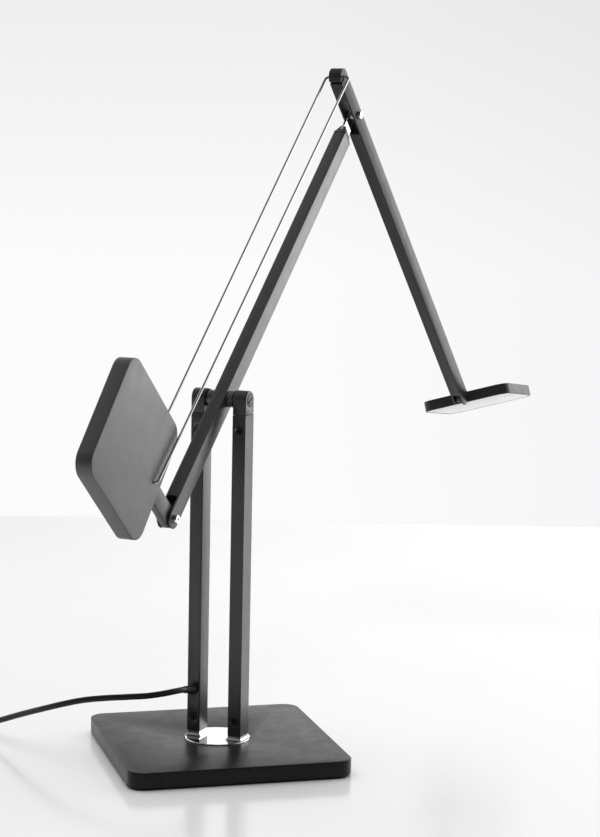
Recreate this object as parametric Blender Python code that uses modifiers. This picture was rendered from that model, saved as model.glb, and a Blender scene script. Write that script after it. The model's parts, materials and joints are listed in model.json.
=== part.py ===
"""Architect desk lamp: swivelling twin posts, a balanced two-part arm and a flat square head.

Metres, +Z up. The origin is the centre of the base's underside, +X runs along the base's back
edge. Everything above the base is modelled in frames that sit on its joints: in each of them
+X is the direction of the axles and the bars run along Y.
"""
import math

import bmesh
import bpy
from mathutils import Matrix, Vector

MM = 0.001
GAP = 0.3 * MM  # clearance between pieces that touch
SLIVER = 0.05 * MM  # points closer than this are one
ROUND = 0.01 * MM  # a full round stops this short of meeting itself

# base
BASE_SIDE = 230 * MM
BASE_CORNER = 17 * MM
BASE_TOP = 18 * MM
PAD_THICKNESS = 1.5 * MM
PAD_INSET = 4 * MM
DISC_RADIUS = 34 * MM
DISC_TOP = 18.8 * MM
DISC_UNDERSIDE = 14.1 * MM
SPINDLE_RADIUS = 6 * MM
RECESS_RADIUS = 23 * MM
RECESS_TOP = 8.3 * MM

# posts
SWIVEL_ANGLE = math.radians(-39)
POST_OFFSET = 23.4 * MM
BAR_WIDTH = 14.5 * MM
BAR_DEPTH = 19.4 * MM
BAR_WALL = 2.0 * MM
BAR_EDGE = 0.7 * MM
POST_BOTTOM = 23.3 * MM
POST_TOP = 356.9 * MM
AXLE_HEIGHT = 371.8 * MM
LOWER_SCREW_HEIGHT = 38.7 * MM
UPPER_SCREW_HEIGHT = 340.8 * MM
SPIGOT_LENGTH = 24 * MM
AXLE_RADIUS = 4 * MM
SPACER_RADIUS = 8.5 * MM

# arms
ARM_ANGLE = math.radians(41.1)
ARM_LOWER = 160.4 * MM
ARM_UPPER = 445.2 * MM
ARM_END = 404 * MM
FORK_SLOT_END = -138.8 * MM
FOREARM_ANGLE = math.radians(-41.9)
FOREARM_LENGTH = 547.5 * MM
LINK_OFFSET = 62 * MM
BLADE_HALF = 1.5 * MM
WIRE_RADIUS = 1.2 * MM
WIRE_SPREAD = 12 * MM
PIN_RADIUS = 3 * MM
PIN_HEAD_RADIUS = 4.4 * MM
PIN_HEAD_HEIGHT = 3.8 * MM

# counterweight
WEIGHT_SIDE = 132.5 * MM
WEIGHT_THICKNESS = 17 * MM
WEIGHT_CENTRE = 115 * MM
WEIGHT_RISE = 2.5 * MM
TONGUE_THICKNESS = 8 * MM
TONGUE_DEPTH = 18.5 * MM
POCKET_DEPTH = 27.5 * MM

# head
HEAD_ANGLE = math.radians(-7.4)
HEAD_ROLL = math.radians(-16.4)
HEAD_SIDE = 122 * MM
HEAD_THICKNESS = 14 * MM
HEAD_RIM = 13 * MM
HEAD_CORNER = 17 * MM
HEAD_WALL = 2.2 * MM

# cord
CORD_RADIUS = 3.1 * MM
CORD_EXIT_HEIGHT = 67.6 * MM
CORD_EXIT_TILT = math.radians(12)
GROMMET_START = 1.4 * MM
GROMMET_END = 22 * MM
COIL_CENTRE = (-286 * MM, 185 * MM)
COIL_RADIUS = 36 * MM  # at the middle of its turns
COIL_HALF_WIDTH = 12.8 * MM
COIL_HEIGHT = 12.7 * MM
PLUG_LENGTH = 37 * MM
PLUG_PIN_SPACING = 18.6 * MM
PLUG_PIN_RADIUS = 2 * MM

# Colour, roughness and metallic value of each finish.
FINISHES = {
    "black_anodised": ((0.028, 0.028, 0.03, 1), 0.42, 0.55),
    "black_powder_coat": ((0.022, 0.022, 0.023, 1), 0.5, 0.0),
    "polished_chrome": ((0.85, 0.86, 0.87, 1), 0.07, 1.0),
    "stainless_steel": ((0.55, 0.55, 0.54, 1), 0.28, 1.0),
    "black_steel": ((0.02, 0.02, 0.022, 1), 0.35, 0.8),
    "bronze": ((0.45, 0.29, 0.12, 1), 0.35, 1.0),
    "brass_plated": ((0.7, 0.66, 0.58, 1), 0.25, 1.0),
    "black_rubber": ((0.015, 0.015, 0.015, 1), 0.75, 0.0),
    "cord_jacket": ((0.012, 0.012, 0.013, 1), 0.5, 0.0),
    "opal_acrylic": ((0.9, 0.9, 0.88, 1), 0.35, 0.0),
    "board_white": ((0.8, 0.8, 0.78, 1), 0.5, 0.0),
    "flat_cable": ((0.12, 0.12, 0.13, 1), 0.5, 0.0),
}


def clear_scene():
    for item in list(bpy.data.objects):
        bpy.data.objects.remove(item, do_unlink=True)


def make_collection(name):
    collection = bpy.data.collections.new(name)
    bpy.context.scene.collection.children.link(collection)
    return collection


def finish(name, finish_name):
    """A material of its own for one sub-part."""
    colour, roughness, metallic = FINISHES[finish_name]
    material = bpy.data.materials.new(name)
    material.use_nodes = True
    shader = material.node_tree.nodes["Principled BSDF"]
    shader.inputs["Base Color"].default_value = colour
    shader.inputs["Roughness"].default_value = roughness
    shader.inputs["Metallic"].default_value = metallic
    material.diffuse_color = colour
    return material


def pivot(name, parent, location, angle, axis):
    """An empty on a joint's axis, turned about one of its own axes."""
    empty = bpy.data.objects.new(name, None)
    empty.empty_display_size = 0.03
    empty.location = location
    empty.rotation_euler["XYZ".index(axis)] = angle
    empty.parent = parent
    lamp.objects.link(empty)
    return empty


def add_object(name, data, parent, finish_name=None):
    """Link a piece, or a cutter when no finish is given."""
    item = bpy.data.objects.new(name, data)
    item.parent = parent
    if finish_name:
        lamp.objects.link(item)
        data.materials.append(finish(name, finish_name))
    else:
        cutters.objects.link(item)
        item.hide_render = True
        item.display_type = "WIRE"
    return item


def mesh_from(name, work):
    mesh = bpy.data.meshes.new(name)
    bmesh.ops.recalc_face_normals(work, faces=work.faces)
    work.to_mesh(mesh)
    work.free()
    return mesh


def cube_between(low, high):
    work = bmesh.new()
    bmesh.ops.create_cube(work, size=1.0)
    low = Vector(low)
    high = Vector(high)
    bmesh.ops.scale(work, vec=high - low, verts=work.verts)
    bmesh.ops.translate(work, vec=(low + high) / 2, verts=work.verts)
    return work


def block(name, low, high, parent, finish_name=None, edge=0.0):
    item = add_object(name, mesh_from(name, cube_between(low, high)), parent, finish_name)
    if edge:
        bevel(item, edge)
    return item


def edges_along(work, axis, wanted=lambda middle: True):
    """The edges that run along one axis and whose middle passes the test."""
    found = []
    for edge in work.edges:
        run = edge.verts[1].co - edge.verts[0].co
        middle = (edge.verts[0].co + edge.verts[1].co) / 2
        if abs(run[axis]) > 0.99 * run.length and wanted(middle):
            found.append(edge)
    return found


def rounded_slab(name, low, high, radius, axis, parent, finish_name=None, edge=0.0, steps=6):
    """A plate whose four edges along one axis are rounded."""
    work = cube_between(low, high)
    bmesh.ops.bevel(work, geom=edges_along(work, axis), offset=radius, segments=steps,
                    affect="EDGES", profile=0.5)
    item = add_object(name, mesh_from(name, work), parent, finish_name)
    if edge:
        bevel(item, edge)
    return item


def bar(name, start, end, half_width, half_depth, parent, finish_name=None,
        round_start=0.0, round_end=0.0, edge=0.0):
    """A bar along Y, with either end rounded across its depth."""
    work = cube_between((-half_width, start, -half_depth), (half_width, end, half_depth))
    middle = (start + end) / 2
    for radius, side in ((round_start, -1), (round_end, 1)):
        if radius:
            found = edges_along(work, 0, lambda point: (point.y - middle) * side > 0)
            bmesh.ops.bevel(work, geom=found, offset=radius, segments=8, affect="EDGES", profile=0.5)
    bmesh.ops.remove_doubles(work, verts=work.verts, dist=SLIVER)
    item = add_object(name, mesh_from(name, work), parent, finish_name)
    if edge:
        bevel(item, edge)
    return item


def stack(name, sections, parent, finish_name=None, axis="Z"):
    """Rectangles (half sizes and height) joined one above the other, along Z or turned to Y."""
    work = bmesh.new()
    bmesh.ops.create_cube(work, size=2.0)
    bottom = min(work.faces, key=lambda face: face.calc_center_median().z)
    top = max(work.faces, key=lambda face: face.calc_center_median().z)
    fit_section(bottom, *sections[0])
    fit_section(top, *sections[1])
    for section in sections[2:]:
        grown = bmesh.ops.extrude_face_region(work, geom=[top])
        bmesh.ops.delete(work, geom=[top], context="FACES_ONLY")
        top = next(part for part in grown["geom"] if isinstance(part, bmesh.types.BMFace))
        fit_section(top, *section)
    if axis == "Y":
        bmesh.ops.rotate(work, matrix=Matrix.Rotation(math.radians(-90), 3, "X"), verts=work.verts)
    return add_object(name, mesh_from(name, work), parent, finish_name)


def fit_section(face, half_x, half_y, height):
    for vert in face.verts:
        vert.co.x = math.copysign(half_x, vert.co.x)
        vert.co.y = math.copysign(half_y, vert.co.y)
        vert.co.z = height


def cylinder(name, radius, start, end, axis, centre, parent, finish_name=None, sides=24):
    """A cylinder along an axis; centre gives its place across that axis."""
    work = bmesh.new()
    bmesh.ops.create_cone(work, cap_ends=True, segments=sides, radius1=radius,
                          radius2=radius, depth=end - start)
    bmesh.ops.translate(work, vec=(0, 0, (start + end) / 2), verts=work.verts)
    if axis == "X":
        bmesh.ops.rotate(work, matrix=Matrix.Rotation(math.radians(90), 3, "Y"), verts=work.verts)
    if axis == "Y":
        bmesh.ops.rotate(work, matrix=Matrix.Rotation(math.radians(-90), 3, "X"), verts=work.verts)
    bmesh.ops.translate(work, vec=centre, verts=work.verts)
    return smooth(add_object(name, mesh_from(name, work), parent, finish_name))


def smooth(item):
    item.data.shade_smooth()
    item.data.set_sharp_from_angle(angle=math.radians(30))
    return item


def turned(name, profile, parent, finish_name=None, axis="Z", location=(0, 0, 0), closed=False,
           sides=24, flip=False):
    """A turned piece: (radius, height) points down its outer side, spun about the axis.

    Height runs along the axis, or against it when the piece is flipped.
    """
    mesh = bpy.data.meshes.new(name)
    points = [(radius, 0, height) for radius, height in profile]
    links = [(index, index + 1) for index in range(len(points) - 1)]
    if closed:
        links.append((len(points) - 1, 0))
    mesh.from_pydata(points, links, [])
    item = add_object(name, mesh, parent, finish_name)
    item.location = location
    turn = math.radians(180) if flip else 0
    if axis == "X":
        item.rotation_euler.y = math.radians(90) + turn
    if axis == "Y":
        item.rotation_euler.x = math.radians(-90) + turn
    if axis == "Z":
        item.rotation_euler.x = turn
    screw = item.modifiers.new("turn", "SCREW")
    screw.axis = "Z"
    screw.steps = sides
    screw.render_steps = sides
    screw.use_merge_vertices = True
    screw.merge_threshold = 0.00005
    screw.use_smooth_shade = True
    return item


def ring(name, inner, outer, low, high, parent, finish_name=None, axis="Z", location=(0, 0, 0),
         sides=20):
    profile = [(inner, high), (outer, high), (outer, low), (inner, low)]
    return turned(name, profile, parent, finish_name, axis, location, True, sides)


def bevel(item, width, segments=1):
    modifier = item.modifiers.new("edges", "BEVEL")
    modifier.width = width
    modifier.segments = segments
    modifier.limit_method = "ANGLE"
    modifier.angle_limit = math.radians(50)
    modifier.use_clamp_overlap = False


def combine(item, other, operation):
    modifier = item.modifiers.new(operation.lower(), "BOOLEAN")
    modifier.operation = operation
    modifier.solver = "EXACT"
    modifier.object = other


def cut(item, *tools):
    for tool in tools:
        combine(item, tool, "DIFFERENCE")


def join(item, *tools):
    for tool in tools:
        combine(item, tool, "UNION")


def wire(name, points, radius, parent, finish_name, resolution):
    """A round wire or cord through its points."""
    curve = bpy.data.curves.new(name, "CURVE")
    curve.dimensions = "3D"
    curve.bevel_depth = radius
    curve.bevel_resolution = resolution
    curve.use_fill_caps = True
    spline = curve.splines.new("POLY")
    spline.points.add(len(points) - 1)
    for point, place in zip(spline.points, points):
        point.co = (*place, 1)
    return add_object(name, curve, parent, finish_name)


def smooth_route(points, spacing):
    """Even points on a smooth curve through a list of points (centripetal Catmull-Rom)."""
    route = [Vector(point) for point in points]
    route = [2 * route[0] - route[1]] + route + [2 * route[-1] - route[-2]]
    dense = []
    for index in range(1, len(route) - 2):
        before, first, second, after = route[index - 1:index + 3]
        knots = [0.0]
        for one, two in ((before, first), (first, second), (second, after)):
            knots.append(knots[-1] + math.sqrt((two - one).length))
        for step in range(24):
            at = knots[1] + (knots[2] - knots[1]) * step / 24
            dense.append(blend_knots(before, first, second, after, knots, at))
    dense.append(route[-2])
    total = sum((two - one).length for one, two in zip(dense, dense[1:]))
    count = max(2, round(total / spacing))
    return [point_at(dense, total * index / count) for index in range(count + 1)]


def blend_knots(before, first, second, after, knots, at):
    def mix(one, two, start, end):
        return one.lerp(two, (at - start) / (end - start))

    low = mix(before, first, knots[0], knots[1])
    middle = mix(first, second, knots[1], knots[2])
    high = mix(second, after, knots[2], knots[3])
    return mix(mix(low, middle, knots[0], knots[2]), mix(middle, high, knots[1], knots[3]),
               knots[1], knots[2])


def point_at(dense, distance):
    for one, two in zip(dense, dense[1:]):
        length = (two - one).length
        if distance <= length:
            return one.lerp(two, distance / length)
        distance -= length
    return dense[-1]


def countersunk_profile(clearance=0.0):
    """Half section of an M4 countersunk screw, its head at height 0 and its tip below."""
    head = 4.1 * MM + clearance
    shank = 2.0 * MM + clearance
    return [(0, 0), (head, 0), (shank, -2.3 * MM - clearance), (shank, -13 * MM - clearance),
            (0, -13 * MM - clearance)]


def countersunk_screw(name, parent, location, axis, flip=False):
    """An M4 countersunk screw with a hex socket."""
    item = turned(name, countersunk_profile(), parent, "black_steel", axis, location, sides=16,
                  flip=flip)
    socket = cylinder(name + "_socket", 1.45 * MM, -1.5 * MM, 1 * MM, "Z", (0, 0, 0), None, sides=6)
    socket.parent = item
    cut(item, socket)
    return item


def screw_hole(name, parent, location, axis, flip=False):
    """A cutter for a countersunk screw, standing a little proud of its face."""
    profile = countersunk_profile(GAP)
    head = profile[1][0]
    return turned(name, [(0, 2 * MM), (head, 2 * MM)] + profile[1:], parent, None, axis, location,
                  sides=16, flip=flip)


def build_base():
    half = BASE_SIDE / 2
    pad_half = half - PAD_INSET
    rounded_slab("base_pad", (-pad_half, -pad_half, 0), (pad_half, pad_half, PAD_THICKNESS),
                 BASE_CORNER - PAD_INSET, 2, None, "black_rubber", steps=5)
    plate = rounded_slab("base_plate", (-half, -half, PAD_THICKNESS + GAP), (half, half, BASE_TOP),
                         BASE_CORNER, 2, None, "black_powder_coat", edge=0.8 * MM)
    low = -1 * MM
    cut(plate,
        cylinder("disc_seat", DISC_RADIUS + GAP, DISC_UNDERSIDE - GAP, 30 * MM, "Z", (0, 0, 0), None,
                 sides=48),
        cylinder("bush_bore", 10.3 * MM, low, 20 * MM, "Z", (0, 0, 0), None),
        cylinder("nut_recess", RECESS_RADIUS, low, RECESS_TOP, "Z", (0, 0, 0), None, sides=40))
    bush = [(6.3 * MM, 13.6 * MM), (10 * MM, 13.6 * MM), (10 * MM, 8 * MM), (15 * MM, 8 * MM),
            (15 * MM, 6.8 * MM), (6.3 * MM, 6.8 * MM)]
    turned("swivel_bush", bush, None, "bronze", closed=True)


def build_swivel(frame):
    disc = turned("swivel_disc",
                  [(0, DISC_TOP), (DISC_RADIUS - 0.6 * MM, DISC_TOP),
                   (DISC_RADIUS, DISC_TOP - 0.6 * MM), (DISC_RADIUS, DISC_UNDERSIDE),
                   (0, DISC_UNDERSIDE)], frame, "polished_chrome", sides=48)
    cut(disc, cylinder("spindle_seat", SPINDLE_RADIUS + GAP, 10 * MM, 16.2 * MM, "Z", (0, 0, 0), frame))
    cylinder("swivel_spindle", SPINDLE_RADIUS, 2.1 * MM, 15.9 * MM, "Z", (0, 0, 0), frame,
             "stainless_steel")
    ring("friction_washer", SPINDLE_RADIUS + GAP, 12 * MM, 5.2 * MM, 6.5 * MM, frame,
         "stainless_steel")
    nut = cylinder("spindle_nut", 11 * MM, 2.1 * MM, 4.9 * MM, "Z", (0, 0, 0), frame,
                   "stainless_steel", sides=6)
    cut(nut, cylinder("nut_bore", SPINDLE_RADIUS + GAP, 0, 10 * MM, "Z", (0, 0, 0), frame))
    for side, label in ((-1, "left"), (1, "right")):
        build_post(frame, disc, side * POST_OFFSET, label)
    build_axle(frame)


def build_post(frame, disc, offset, label):
    """One post with its foot, cap and screws. Its screws face the front, -Y."""
    half_width = BAR_WIDTH / 2
    half_depth = BAR_DEPTH / 2
    spigot_x = half_width - BAR_WALL - GAP
    spigot_y = half_depth - BAR_WALL - GAP
    here = pivot("post_place_" + label, frame, (offset, 0, 0), 0, "Z")

    foot = stack("post_foot_" + label,
                 [(half_width + 1.7 * MM, half_depth + 1.7 * MM, DISC_TOP + GAP),
                  (half_width + 1.7 * MM, half_depth + 1.7 * MM, 19.5 * MM),
                  (half_width, half_depth, 21.2 * MM),
                  (half_width, half_depth, POST_BOTTOM - GAP),
                  (spigot_x, spigot_y, POST_BOTTOM - GAP),
                  (spigot_x, spigot_y, POST_BOTTOM + SPIGOT_LENGTH)], here, "polished_chrome")
    underneath = (0, 0, DISC_UNDERSIDE)
    foot_hole = screw_hole("foot_hole_" + label, here, underneath, "Z", flip=True)
    countersunk_screw("foot_screw_" + label, here, underneath, "Z", flip=True)
    cut(foot, foot_hole)
    cut(disc, foot_hole)

    post = block("post_" + label, (-half_width, -half_depth, POST_BOTTOM),
                 (half_width, half_depth, POST_TOP), here, "black_anodised", edge=BAR_EDGE)
    cut(post, block("post_hollow_" + label,
                    (-half_width + BAR_WALL, -half_depth + BAR_WALL, POST_BOTTOM - 10 * MM),
                    (half_width - BAR_WALL, half_depth - BAR_WALL, POST_TOP + 10 * MM), here))

    cap = build_cap(here, label, spigot_x, spigot_y)
    for height, place, holder in ((LOWER_SCREW_HEIGHT, "lower", foot),
                                  (UPPER_SCREW_HEIGHT, "upper", cap)):
        at = (0, -half_depth, height)
        hole = screw_hole(place + "_hole_" + label, here, at, "Y", flip=True)
        countersunk_screw(place + "_screw_" + label, here, at, "Y", flip=True)
        cut(post, hole)
        cut(holder, hole)


def build_cap(here, label, spigot_x, spigot_y):
    """The round-topped block on a post, which holds one end of the axle."""
    half_width = BAR_WIDTH / 2
    half_depth = BAR_DEPTH / 2
    outward = -1 if label == "left" else 1
    work = cube_between((-half_width, -half_depth, POST_TOP + GAP),
                        (half_width, half_depth, AXLE_HEIGHT + half_depth))
    found = edges_along(work, 0, lambda middle: middle.z > AXLE_HEIGHT)
    bmesh.ops.bevel(work, geom=found, offset=half_depth - ROUND, segments=8, affect="EDGES",
                    profile=0.5)
    bmesh.ops.remove_doubles(work, verts=work.verts, dist=SLIVER)
    cap = add_object("post_cap_" + label, mesh_from("post_cap_" + label, work), here, "black_anodised")
    bevel(cap, 0.5 * MM)
    join(cap, block("cap_spigot_" + label, (-spigot_x, -spigot_y, POST_TOP - SPIGOT_LENGTH),
                    (spigot_x, spigot_y, POST_TOP + 4 * MM), here))
    centre = (0, 0, AXLE_HEIGHT)
    inner = -outward * (half_width + 2 * MM)
    seat = outward * (half_width - 3.3 * MM)
    cut(cap, cylinder("cap_bore_" + label, AXLE_RADIUS + GAP, min(inner, seat), max(inner, seat), "X",
                      centre, here, sides=24))
    outer = outward * (half_width + 2 * MM)
    start = outward * (half_width - 3.3 * MM - 0.01 * MM)
    cut(cap, cylinder("cap_counterbore_" + label, 6.5 * MM, min(start, outer), max(start, outer), "X",
                      centre, here))
    build_axle_screw(here, label, outward)
    return cap


def build_axle_screw(here, label, outward):
    """A slotted screw, flush in the cap's outer face, that closes the axle's end."""
    face = BAR_WIDTH / 2 + 0.2 * MM
    profile = [(0, face), (5.8 * MM, face), (6.2 * MM, face - 0.4 * MM), (6.2 * MM, face - 3.1 * MM),
               (2.5 * MM, face - 3.1 * MM), (2.5 * MM, face - 12 * MM), (0, face - 12 * MM)]
    item = turned("axle_screw_" + label, profile, here, "black_steel", "X", (0, 0, AXLE_HEIGHT),
                  flip=outward < 0)
    slot = block("screw_slot_" + label, (-0.7 * MM, -8 * MM, face - 1.2 * MM),
                 (0.7 * MM, 8 * MM, face + 2 * MM), None)
    slot.parent = item
    slot.rotation_euler = (0, 0, math.radians(outward * 25))
    cut(item, slot)


def build_axle(frame):
    centre = (0, 0, AXLE_HEIGHT)
    axle_end = POST_OFFSET + BAR_WIDTH / 2 - 3.3 * MM - GAP
    axle = cylinder("axle", AXLE_RADIUS, -axle_end, axle_end, "X", centre, frame, "stainless_steel",
                    sides=24)
    for side, label in ((-1, "left"), (1, "right")):
        face = side * (axle_end + 1 * MM)
        deep = side * (axle_end - 10 * MM)
        cut(axle, cylinder("axle_thread_" + label, 2.8 * MM, min(face, deep), max(face, deep), "X",
                           centre, frame, sides=24))
        inner_face = POST_OFFSET - BAR_WIDTH / 2
        washer = (side * (inner_face - GAP), side * (inner_face - 1.5 * MM))
        ring("axle_washer_" + label, AXLE_RADIUS + GAP, 9.4 * MM, min(washer), max(washer), frame,
             "black_steel", "X", centre)
        spacer = (side * (BAR_WIDTH / 2 + GAP), side * (inner_face - 1.5 * MM - GAP))
        ring("axle_spacer_" + label, AXLE_RADIUS + GAP, SPACER_RADIUS, min(spacer), max(spacer), frame,
             "black_steel", "X", centre)


def pin(name, place, parent, bore_half):
    """A chrome shoulder pin through a fork, with its domed nut on the other side."""
    face = BAR_WIDTH / 2 + GAP
    top = face + PIN_HEAD_HEIGHT
    head = PIN_HEAD_RADIUS
    profile = [(0, top - 1.5 * MM), (1.1 * MM, top - 1.5 * MM), (1.1 * MM, top),
               (head - 0.6 * MM, top), (head, top - 0.6 * MM), (head, face), (bore_half, face),
               (bore_half, -face - 2.4 * MM), (0, -face - 2.4 * MM)]
    turned(name, profile, parent, "polished_chrome", "X", (0, place, 0), sides=20)
    nut = [(0, top), (head - 0.6 * MM, top), (head, top - 0.6 * MM), (head, face),
           (bore_half + GAP, face), (bore_half + GAP, face + 2.7 * MM), (0, face + 2.7 * MM)]
    turned(name + "_nut", nut, parent, "polished_chrome", "X", (0, place, 0), sides=20, flip=True)


def build_arm(frame):
    """The main arm: a tube with a fork at its lower end and a blade at its upper end."""
    half_width = BAR_WIDTH / 2
    half_depth = BAR_DEPTH / 2
    inner_x = half_width - BAR_WALL
    inner_z = half_depth - BAR_WALL
    low_end = -ARM_LOWER - half_depth
    arm = bar("main_arm", low_end, ARM_END, half_width, half_depth, frame, "black_anodised",
              round_start=half_depth - ROUND, edge=BAR_EDGE)
    cut(arm,
        block("arm_hollow", (-inner_x, low_end - 9 * MM, -inner_z), (inner_x, ARM_END + 9 * MM, inner_z),
              frame),
        block("arm_fork_slot", (-inner_x, low_end - 9 * MM, -20 * MM),
              (inner_x, FORK_SLOT_END, 20 * MM), frame),
        cylinder("arm_cross_bore", 6 * MM, -20 * MM, 20 * MM, "X", (0, 0, 0), frame),
        cylinder("arm_pin_bore", PIN_RADIUS + GAP, -20 * MM, 20 * MM, "X", (0, -ARM_LOWER, 0), frame))
    ring("arm_hub", AXLE_RADIUS + GAP, 5.7 * MM, -half_width, half_width, frame, "bronze", "X")
    pin("weight_pin", -ARM_LOWER, frame, PIN_RADIUS)
    for side, label in ((-1, "left"), (1, "right")):
        near = side * (TONGUE_THICKNESS / 2 + 0.25 * MM)
        far = side * (inner_x - 0.25 * MM)
        ring("weight_washer_" + label, PIN_RADIUS + GAP, 5.6 * MM, min(near, far), max(near, far), frame,
             "stainless_steel", "X", (0, -ARM_LOWER, 0), sides=24)
    plug_x = inner_x - GAP
    plug_z = inner_z - GAP
    elbow = stack("elbow_block",
                  [(plug_x, plug_z, ARM_END - 18 * MM), (plug_x, plug_z, ARM_END + GAP),
                   (half_width, half_depth, ARM_END + GAP), (half_width, half_depth, ARM_END + 2 * MM),
                   (6.2 * MM, half_depth - 0.4 * MM, ARM_END + 4 * MM),
                   (2.9 * MM, half_depth - 1.6 * MM, ARM_END + 13 * MM)],
                  frame, "black_anodised", axis="Y")
    blade_start = ARM_END - 12 * MM
    cut(elbow, block("blade_slot", (-BLADE_HALF - GAP, blade_start - GAP, -9 * MM),
                     (BLADE_HALF + GAP, ARM_END + 30 * MM, 9 * MM), frame))
    blade_half_depth = 8.6 * MM
    tang_half_depth = 7.2 * MM
    blade = bar("elbow_blade", blade_start, ARM_UPPER + blade_half_depth, BLADE_HALF, blade_half_depth,
                frame, "polished_chrome", round_end=blade_half_depth - ROUND)
    cut(blade, cylinder("blade_bore", PIN_RADIUS + GAP, -9 * MM, 9 * MM, "X", (0, ARM_UPPER, 0), frame))
    for side in (-1, 1):
        heights = (side * tang_half_depth, side * 20 * MM)
        cut(blade, block("blade_shoulder_%d" % side, (-9 * MM, blade_start - 9 * MM, min(heights)),
                         (9 * MM, ARM_END + GAP, max(heights)), frame))
    ribbon_z = inner_z - 0.3 * MM
    block("arm_flat_cable", (-2.5 * MM, FORK_SLOT_END + 6 * MM, ribbon_z - 0.8 * MM),
          (2.5 * MM, ARM_END - 19 * MM, ribbon_z), frame, "flat_cable")


def build_forearm(frame):
    """The forearm: a tube with a slot for the elbow, a wire notch and a fork for the head."""
    half_width = BAR_WIDTH / 2
    half_depth = BAR_DEPTH / 2
    inner_x = half_width - BAR_WALL
    inner_z = half_depth - BAR_WALL
    rear = -LINK_OFFSET - half_depth
    front = FOREARM_LENGTH + half_depth
    plug_start = rear + 5 * MM
    round_end = half_depth - ROUND
    forearm = bar("forearm", rear, front, half_width, half_depth, frame, "black_anodised",
                  round_start=round_end, round_end=round_end, edge=BAR_EDGE)
    wire_notch = block("wire_notch", (-20 * MM, -LINK_OFFSET - 1.6 * MM, -20 * MM),
                       (20 * MM, -LINK_OFFSET + 1.6 * MM, 1.6 * MM), frame)
    cut(forearm,
        block("forearm_hollow", (-inner_x, plug_start, -inner_z), (inner_x, front + 9 * MM, inner_z),
              frame),
        block("elbow_slot", (-inner_x, -32 * MM, -20 * MM), (inner_x, 22 * MM, 20 * MM), frame),
        block("head_slot", (-inner_x, FOREARM_LENGTH - 16 * MM, -20 * MM),
              (inner_x, front + 9 * MM, 20 * MM), frame),
        cylinder("elbow_bore", PIN_RADIUS + GAP, -20 * MM, 20 * MM, "X", (0, 0, 0), frame),
        cylinder("head_bore", PIN_RADIUS + GAP, -20 * MM, 20 * MM, "X", (0, FOREARM_LENGTH, 0), frame),
        wire_notch)
    plug = block("forearm_plug", (-inner_x + GAP, plug_start + GAP, -inner_z + GAP),
                 (inner_x - GAP, -34 * MM, inner_z - GAP), frame, "black_anodised")
    cut(plug, wire_notch)
    pin("elbow_pin", 0, frame, PIN_RADIUS)
    for side, label in ((-1, "left"), (1, "right")):
        near = side * (BLADE_HALF + GAP)
        far = side * (inner_x - GAP)
        ring("elbow_spacer_" + label, PIN_RADIUS + GAP, 5.2 * MM, min(near, far), max(near, far), frame,
             "stainless_steel", "X", sides=24)
    head_pin = [(0, half_width - 0.2 * MM), (PIN_RADIUS, half_width - 0.2 * MM),
                (PIN_RADIUS, -half_width + 0.2 * MM), (0, -half_width + 0.2 * MM)]
    turned("head_pin", head_pin, frame, "stainless_steel", "X", (0, FOREARM_LENGTH, 0), sides=24)
    ribbon_z = inner_z - 0.3 * MM
    block("forearm_flat_cable", (-2.5 * MM, 24 * MM, ribbon_z - 0.8 * MM),
          (2.5 * MM, FOREARM_LENGTH - 18 * MM, ribbon_z), frame, "flat_cable")


def build_link(frame):
    """The balance wire: a crossbar in the forearm's notch and two legs down to the weight."""
    length = ARM_LOWER + ARM_UPPER
    bend = 5 * MM
    foot = WEIGHT_THICKNESS / 2 - 3.5 * MM
    half = [(0, 0)]
    half += quarter_bend(WIRE_SPREAD - bend, -bend, bend, 90, 0)
    half += quarter_bend(WIRE_SPREAD - bend, -length + bend, bend, 0, -90)
    half.append((foot, -length))
    right = [(x, y, 0) for x, y in half]
    left = [(-x, y, 0) for x, y in reversed(half[1:])]
    wire("balance_wire", left + right, WIRE_RADIUS, frame, "stainless_steel", 2)


def quarter_bend(centre_x, centre_y, radius, start, end, steps=5):
    points = []
    for index in range(steps + 1):
        angle = math.radians(start + (end - start) * index / steps)
        points.append((centre_x + radius * math.cos(angle), centre_y + radius * math.sin(angle)))
    return points


def build_weight(frame):
    """The counterweight plate and the tongue that carries it."""
    half = WEIGHT_SIDE / 2
    thick = WEIGHT_THICKNESS / 2
    near = -WEIGHT_CENTRE + half
    plate = rounded_slab("counterweight_plate", (-thick, near - WEIGHT_SIDE, WEIGHT_RISE - half),
                         (thick, near, WEIGHT_RISE + half), BASE_CORNER, 0, frame, "black_powder_coat", edge=0.8 * MM)
    pocket_x = TONGUE_THICKNESS / 2
    pocket_z = TONGUE_DEPTH / 2
    cut(plate,
        block("tongue_pocket", (-pocket_x - GAP, near - POCKET_DEPTH - GAP, -pocket_z - GAP),
              (pocket_x + GAP, near + 9 * MM, pocket_z + GAP), frame),
        cylinder("wire_hole", WIRE_RADIUS + 0.6 * MM, -20 * MM, 20 * MM, "X", (0, -LINK_OFFSET, 0),
                 frame, sides=16))
    tongue = bar("counterweight_tongue", near - POCKET_DEPTH, pocket_z, pocket_x, pocket_z, frame,
                 "black_powder_coat", round_end=pocket_z - ROUND)
    cut(tongue,
        cylinder("tongue_bore", PIN_RADIUS + GAP, -20 * MM, 20 * MM, "X", (0, 0, 0), frame))
    for index, height in enumerate((-5 * MM, 5 * MM), 1):
        at = (-thick, near - POCKET_DEPTH + 5.5 * MM, height)
        hole = screw_hole("tongue_hole_%d" % index, frame, at, "X", flip=True)
        countersunk_screw("tongue_screw_%d" % index, frame, at, "X", flip=True)
        cut(plate, hole)
        cut(tongue, hole)


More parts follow.
